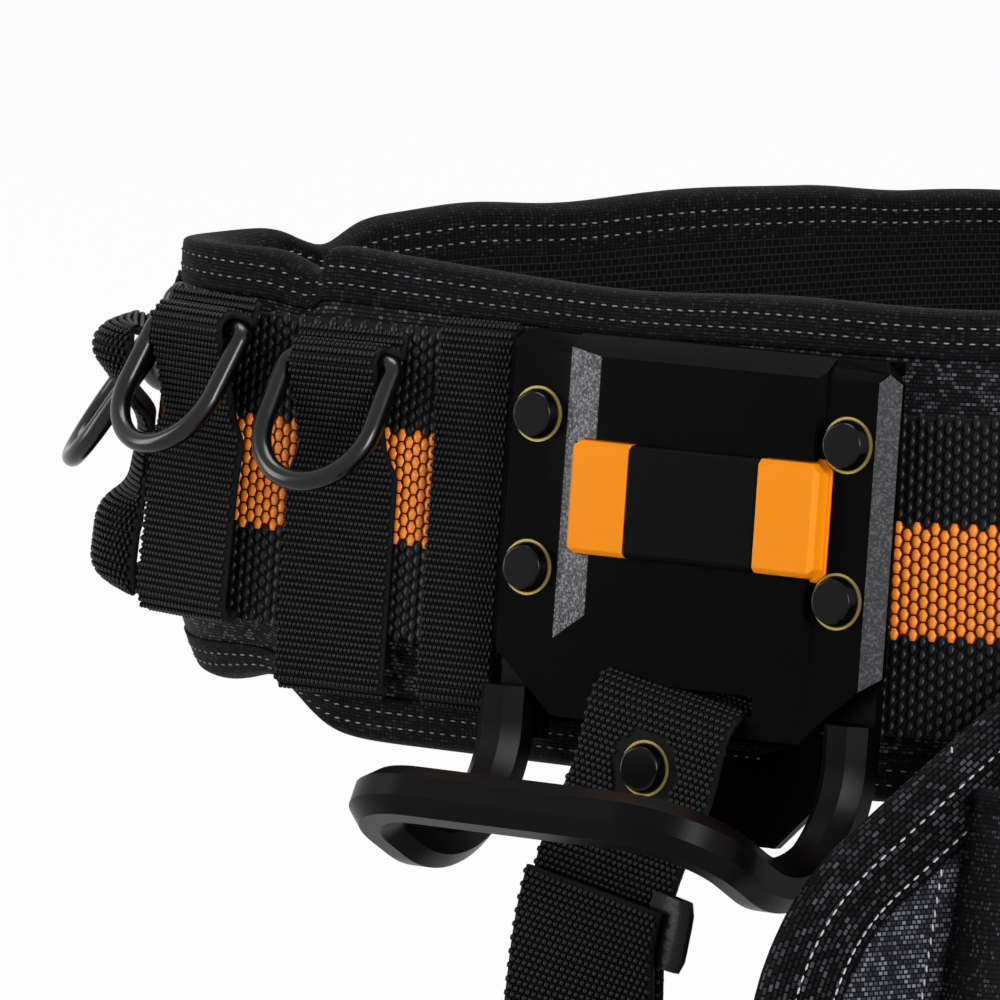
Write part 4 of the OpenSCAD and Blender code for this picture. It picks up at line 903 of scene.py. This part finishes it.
for side, label in ((1, "right"), (-1, "left")):
    row = np.stack([side * (np.interp(level, POCKET_LEVELS, POCKET_HALF) + SEAM_GAP), level], -1)
    seam("pocket_seam_" + label, row, np.repeat([[0.0, 1.0]], len(row), axis=0), PANEL_HIGH + SEAM_LIFT)


# Moulded and metal pieces: the frame's own shapes, some with their hard edges eased, and their finishes

FLAT_EDGE, HARD_EDGE = math.radians(0.5), math.radians(22)


def eased(name, finish, width, slot, body="belt", segments=2, choose=None):
    """A copy of a frame node with its hard edges eased by a width, in place of the node."""
    build = bmesh.new()
    build.from_mesh(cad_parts[name].data)
    bmesh.ops.remove_doubles(build, verts=build.verts, dist=1e-6)
    bmesh.ops.dissolve_limit(build, angle_limit=FLAT_EDGE, verts=build.verts, edges=build.edges)
    hard = [e for e in build.edges if len(e.link_faces) == 2 and e.calc_face_angle(0) > HARD_EDGE]
    bmesh.ops.bevel(build, geom=hard, offset=width * MM, segments=segments, profile=0.5, affect="EDGES",
                    clamp_overlap=True)
    bmesh.ops.triangulate(build, faces=[f for f in build.faces if len(f.verts) > 4])
    mesh = bpy.data.meshes.new(name + "_eased")
    build.to_mesh(mesh)
    build.free()
    mesh.shade_smooth()
    rough_copy = bpy.data.objects.new(name + "_eased", mesh)
    bpy.context.scene.collection.objects.link(rough_copy)
    rough_copy.modifiers.new("flat faces", "WEIGHTED_NORMAL").weight = 100
    bpy.context.view_layer.update()
    mesh = bpy.data.meshes.new_from_object(rough_copy.evaluated_get(bpy.context.evaluated_depsgraph_get()))
    bpy.data.objects.remove(rough_copy)
    mesh.materials.append(finish)
    if choose:
        for other in choose[1:]:
            mesh.materials.append(other)
        for face in mesh.polygons:
            face.material_index = choose[0](np.array(face.center) / MM, np.array(face.normal))
    made = bpy.data.objects.new(name + "_eased", mesh)
    bpy.context.scene.collection.objects.link(made)
    return fitted(made, slot, name, body=body)


REAR_BEVEL, REAR_LEAN, REAR_FACING = (-34.5, -22.0), -0.12, 0.9
FRONT_BEVEL, FRONT_LEAN, FRONT_FACING = 44.0, (0.3, 0.85), 0.5


def eroded_glint_bevel(centre, normal):
    """1 for a face on the panel's rear bevel, 2 for one on the plate's front bevel, or else 0: where glints
    are painted.
    """
    across = np.dot(centre - holder[0], holder[1])
    lean = np.dot(normal, holder[1])
    facing = np.dot(normal, holder[3])
    if REAR_BEVEL[0] < across < REAR_BEVEL[1] and lean < REAR_LEAN and facing > REAR_FACING:
        return 1
    front = across > FRONT_BEVEL and FRONT_LEAN[0] < lean < FRONT_LEAN[1] and facing > FRONT_FACING
    return 2 if front else 0


eased("holder_face_plate", PANEL, 0.4, "black_plastic", choose=(eroded_glint_bevel, BRIGHT_PAINTED_GLINTS, DIM_PAINTED_GLINTS))
eased("holder_back_clip", PANEL, 0.4, "black_plastic")
eased("holder_centre_block", BLOCK, 0.4, "black_plastic")
eased("release_button_left", BUTTON, 0.35, "orange_plastic", body="button_left")
eased("release_button_right", BUTTON, 0.35, "orange_plastic", body="button_right")
eased("hammer_loop", STEEL, 0.9, "black_steel", segments=3)
eased("holder_rivets", RIVET, 0.4, "rivet_steel")
eased("strap_rivet", RIVET, 0.4, "rivet_steel")
eased("buckle_socket", PANEL, 0.5, "black_plastic")
eased("buckle_plug", PANEL, 0.5, "black_plastic")
RINGS = ("back", "right_inner", "right_outer", "left_inner", "left_outer")
FINISH = {"d_ring_" + spot: RING for spot in RINGS}
FINISH.update({
    "holder_spring_cover": PANEL, "button_bumpers": RUBBER, "holder_washers": BRASS, "strap_washer": BRASS,
    "pouch_rivets": RIVET, "pouch_clip": PANEL, "latch_arm_upper": PANEL, "latch_arm_lower": PANEL,
})
for name, finish in FINISH.items():
    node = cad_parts[name]
    node.data.materials.clear()
    node.data.materials.append(finish)


# Floor, light and camera

def seen(tree):
    """1 for rays from the camera, reflections and glass, 0 for the rest."""
    ray = add(tree, "ShaderNodeLightPath").outputs
    sight = ray["Is Camera Ray"]
    for other in ("Is Glossy Ray", "Is Transmission Ray"):
        sight = add(tree, "ShaderNodeMath", {0: sight, 1: ray[other]}, operation="MAXIMUM").outputs["Value"]
    return sight


FLOOR_Z, FLOOR_HALF, FLOOR_GLOW = -168.0, 6000.0, 0.96
paper, tree, shader = material("white_paper", "#ececec", 0.9, 0.2)
glow = add(tree, "ShaderNodeEmission", {"Color": WHITE, "Strength": 1.0})
share = add(tree, "ShaderNodeMath", {0: seen(tree), 1: FLOOR_GLOW}, operation="MULTIPLY")
mix = add(tree, "ShaderNodeMixShader", {
    0: share.outputs["Value"], 1: shader.outputs["BSDF"], 2: glow.outputs["Emission"]})
tree.links.new(mix.outputs["Shader"], tree.nodes["Material Output"].inputs["Surface"])
corners = [[x, y, FLOOR_Z] for x, y in ((-1, -1), (1, -1), (1, 1), (-1, 1))]
floor = mesh_object("floor", np.array(corners) * [FLOOR_HALF, FLOOR_HALF, 1], [[0, 1, 2, 3]], paper)

WORLD_LEVEL = 0.16
world = bpy.data.worlds.new("room")
bpy.context.scene.world = world
world.use_nodes = True
tree = world.node_tree
level = add(tree, "ShaderNodeMapRange", {"Value": seen(tree), "To Min": WORLD_LEVEL, "To Max": 1.0})
tree.nodes["Background"].inputs["Color"].default_value = WHITE
tree.links.new(level.outputs["Result"], tree.nodes["Background"].inputs["Strength"])


def lamp(name, where, aim, size, power):
    """A rectangular soft box that faces its aim."""
    data = bpy.data.lights.new(name, "AREA")
    data.shape = "RECTANGLE"
    data.size, data.size_y = size
    data.energy = power
    made = bpy.data.objects.new(name, data)
    bpy.context.scene.collection.objects.link(made)
    back = np.asarray(where, float) - np.asarray(aim, float)
    back /= np.linalg.norm(back)
    made.location = np.asarray(where, float) * MM
    made.rotation_euler = [math.acos(back[2]), 0, math.atan2(back[1], back[0]) + math.pi / 2]


AIM = (-60, -80, 50)
lamp("left_box", (-1550, -180, 350), AIM, (0.5, 0.9), 12)
lamp("right_box", (900, -1500, 600), AIM, (0.45, 0.8), 27)
lamp("top_box", (0, 300, 1500), AIM, (0.9, 0.6), 14)

CAMERA_TARGET = np.array([-82.949, -110.5, 64.742])
CAMERA_DISTANCE = 2300.0
CAMERA_RISE, CAMERA_SIDE = math.radians(9.161), math.radians(3.54)
camera_data = bpy.data.cameras.new("camera")
camera_data.sensor_width = 36.0
camera_data.lens = 378.1
camera = bpy.data.objects.new("camera", camera_data)
bpy.context.scene.collection.objects.link(camera)
level_look = np.array([math.sin(CAMERA_SIDE), -math.cos(CAMERA_SIDE), 0.0])
look = level_look * math.cos(CAMERA_RISE) + np.array([0.0, 0.0, math.sin(CAMERA_RISE)])
camera.location = (CAMERA_TARGET + CAMERA_DISTANCE * look) * MM
camera.rotation_euler = [math.pi / 2 - CAMERA_RISE, 0, CAMERA_SIDE]
bpy.context.scene.camera = camera
bpy.context.scene.view_settings.view_transform = "Standard"
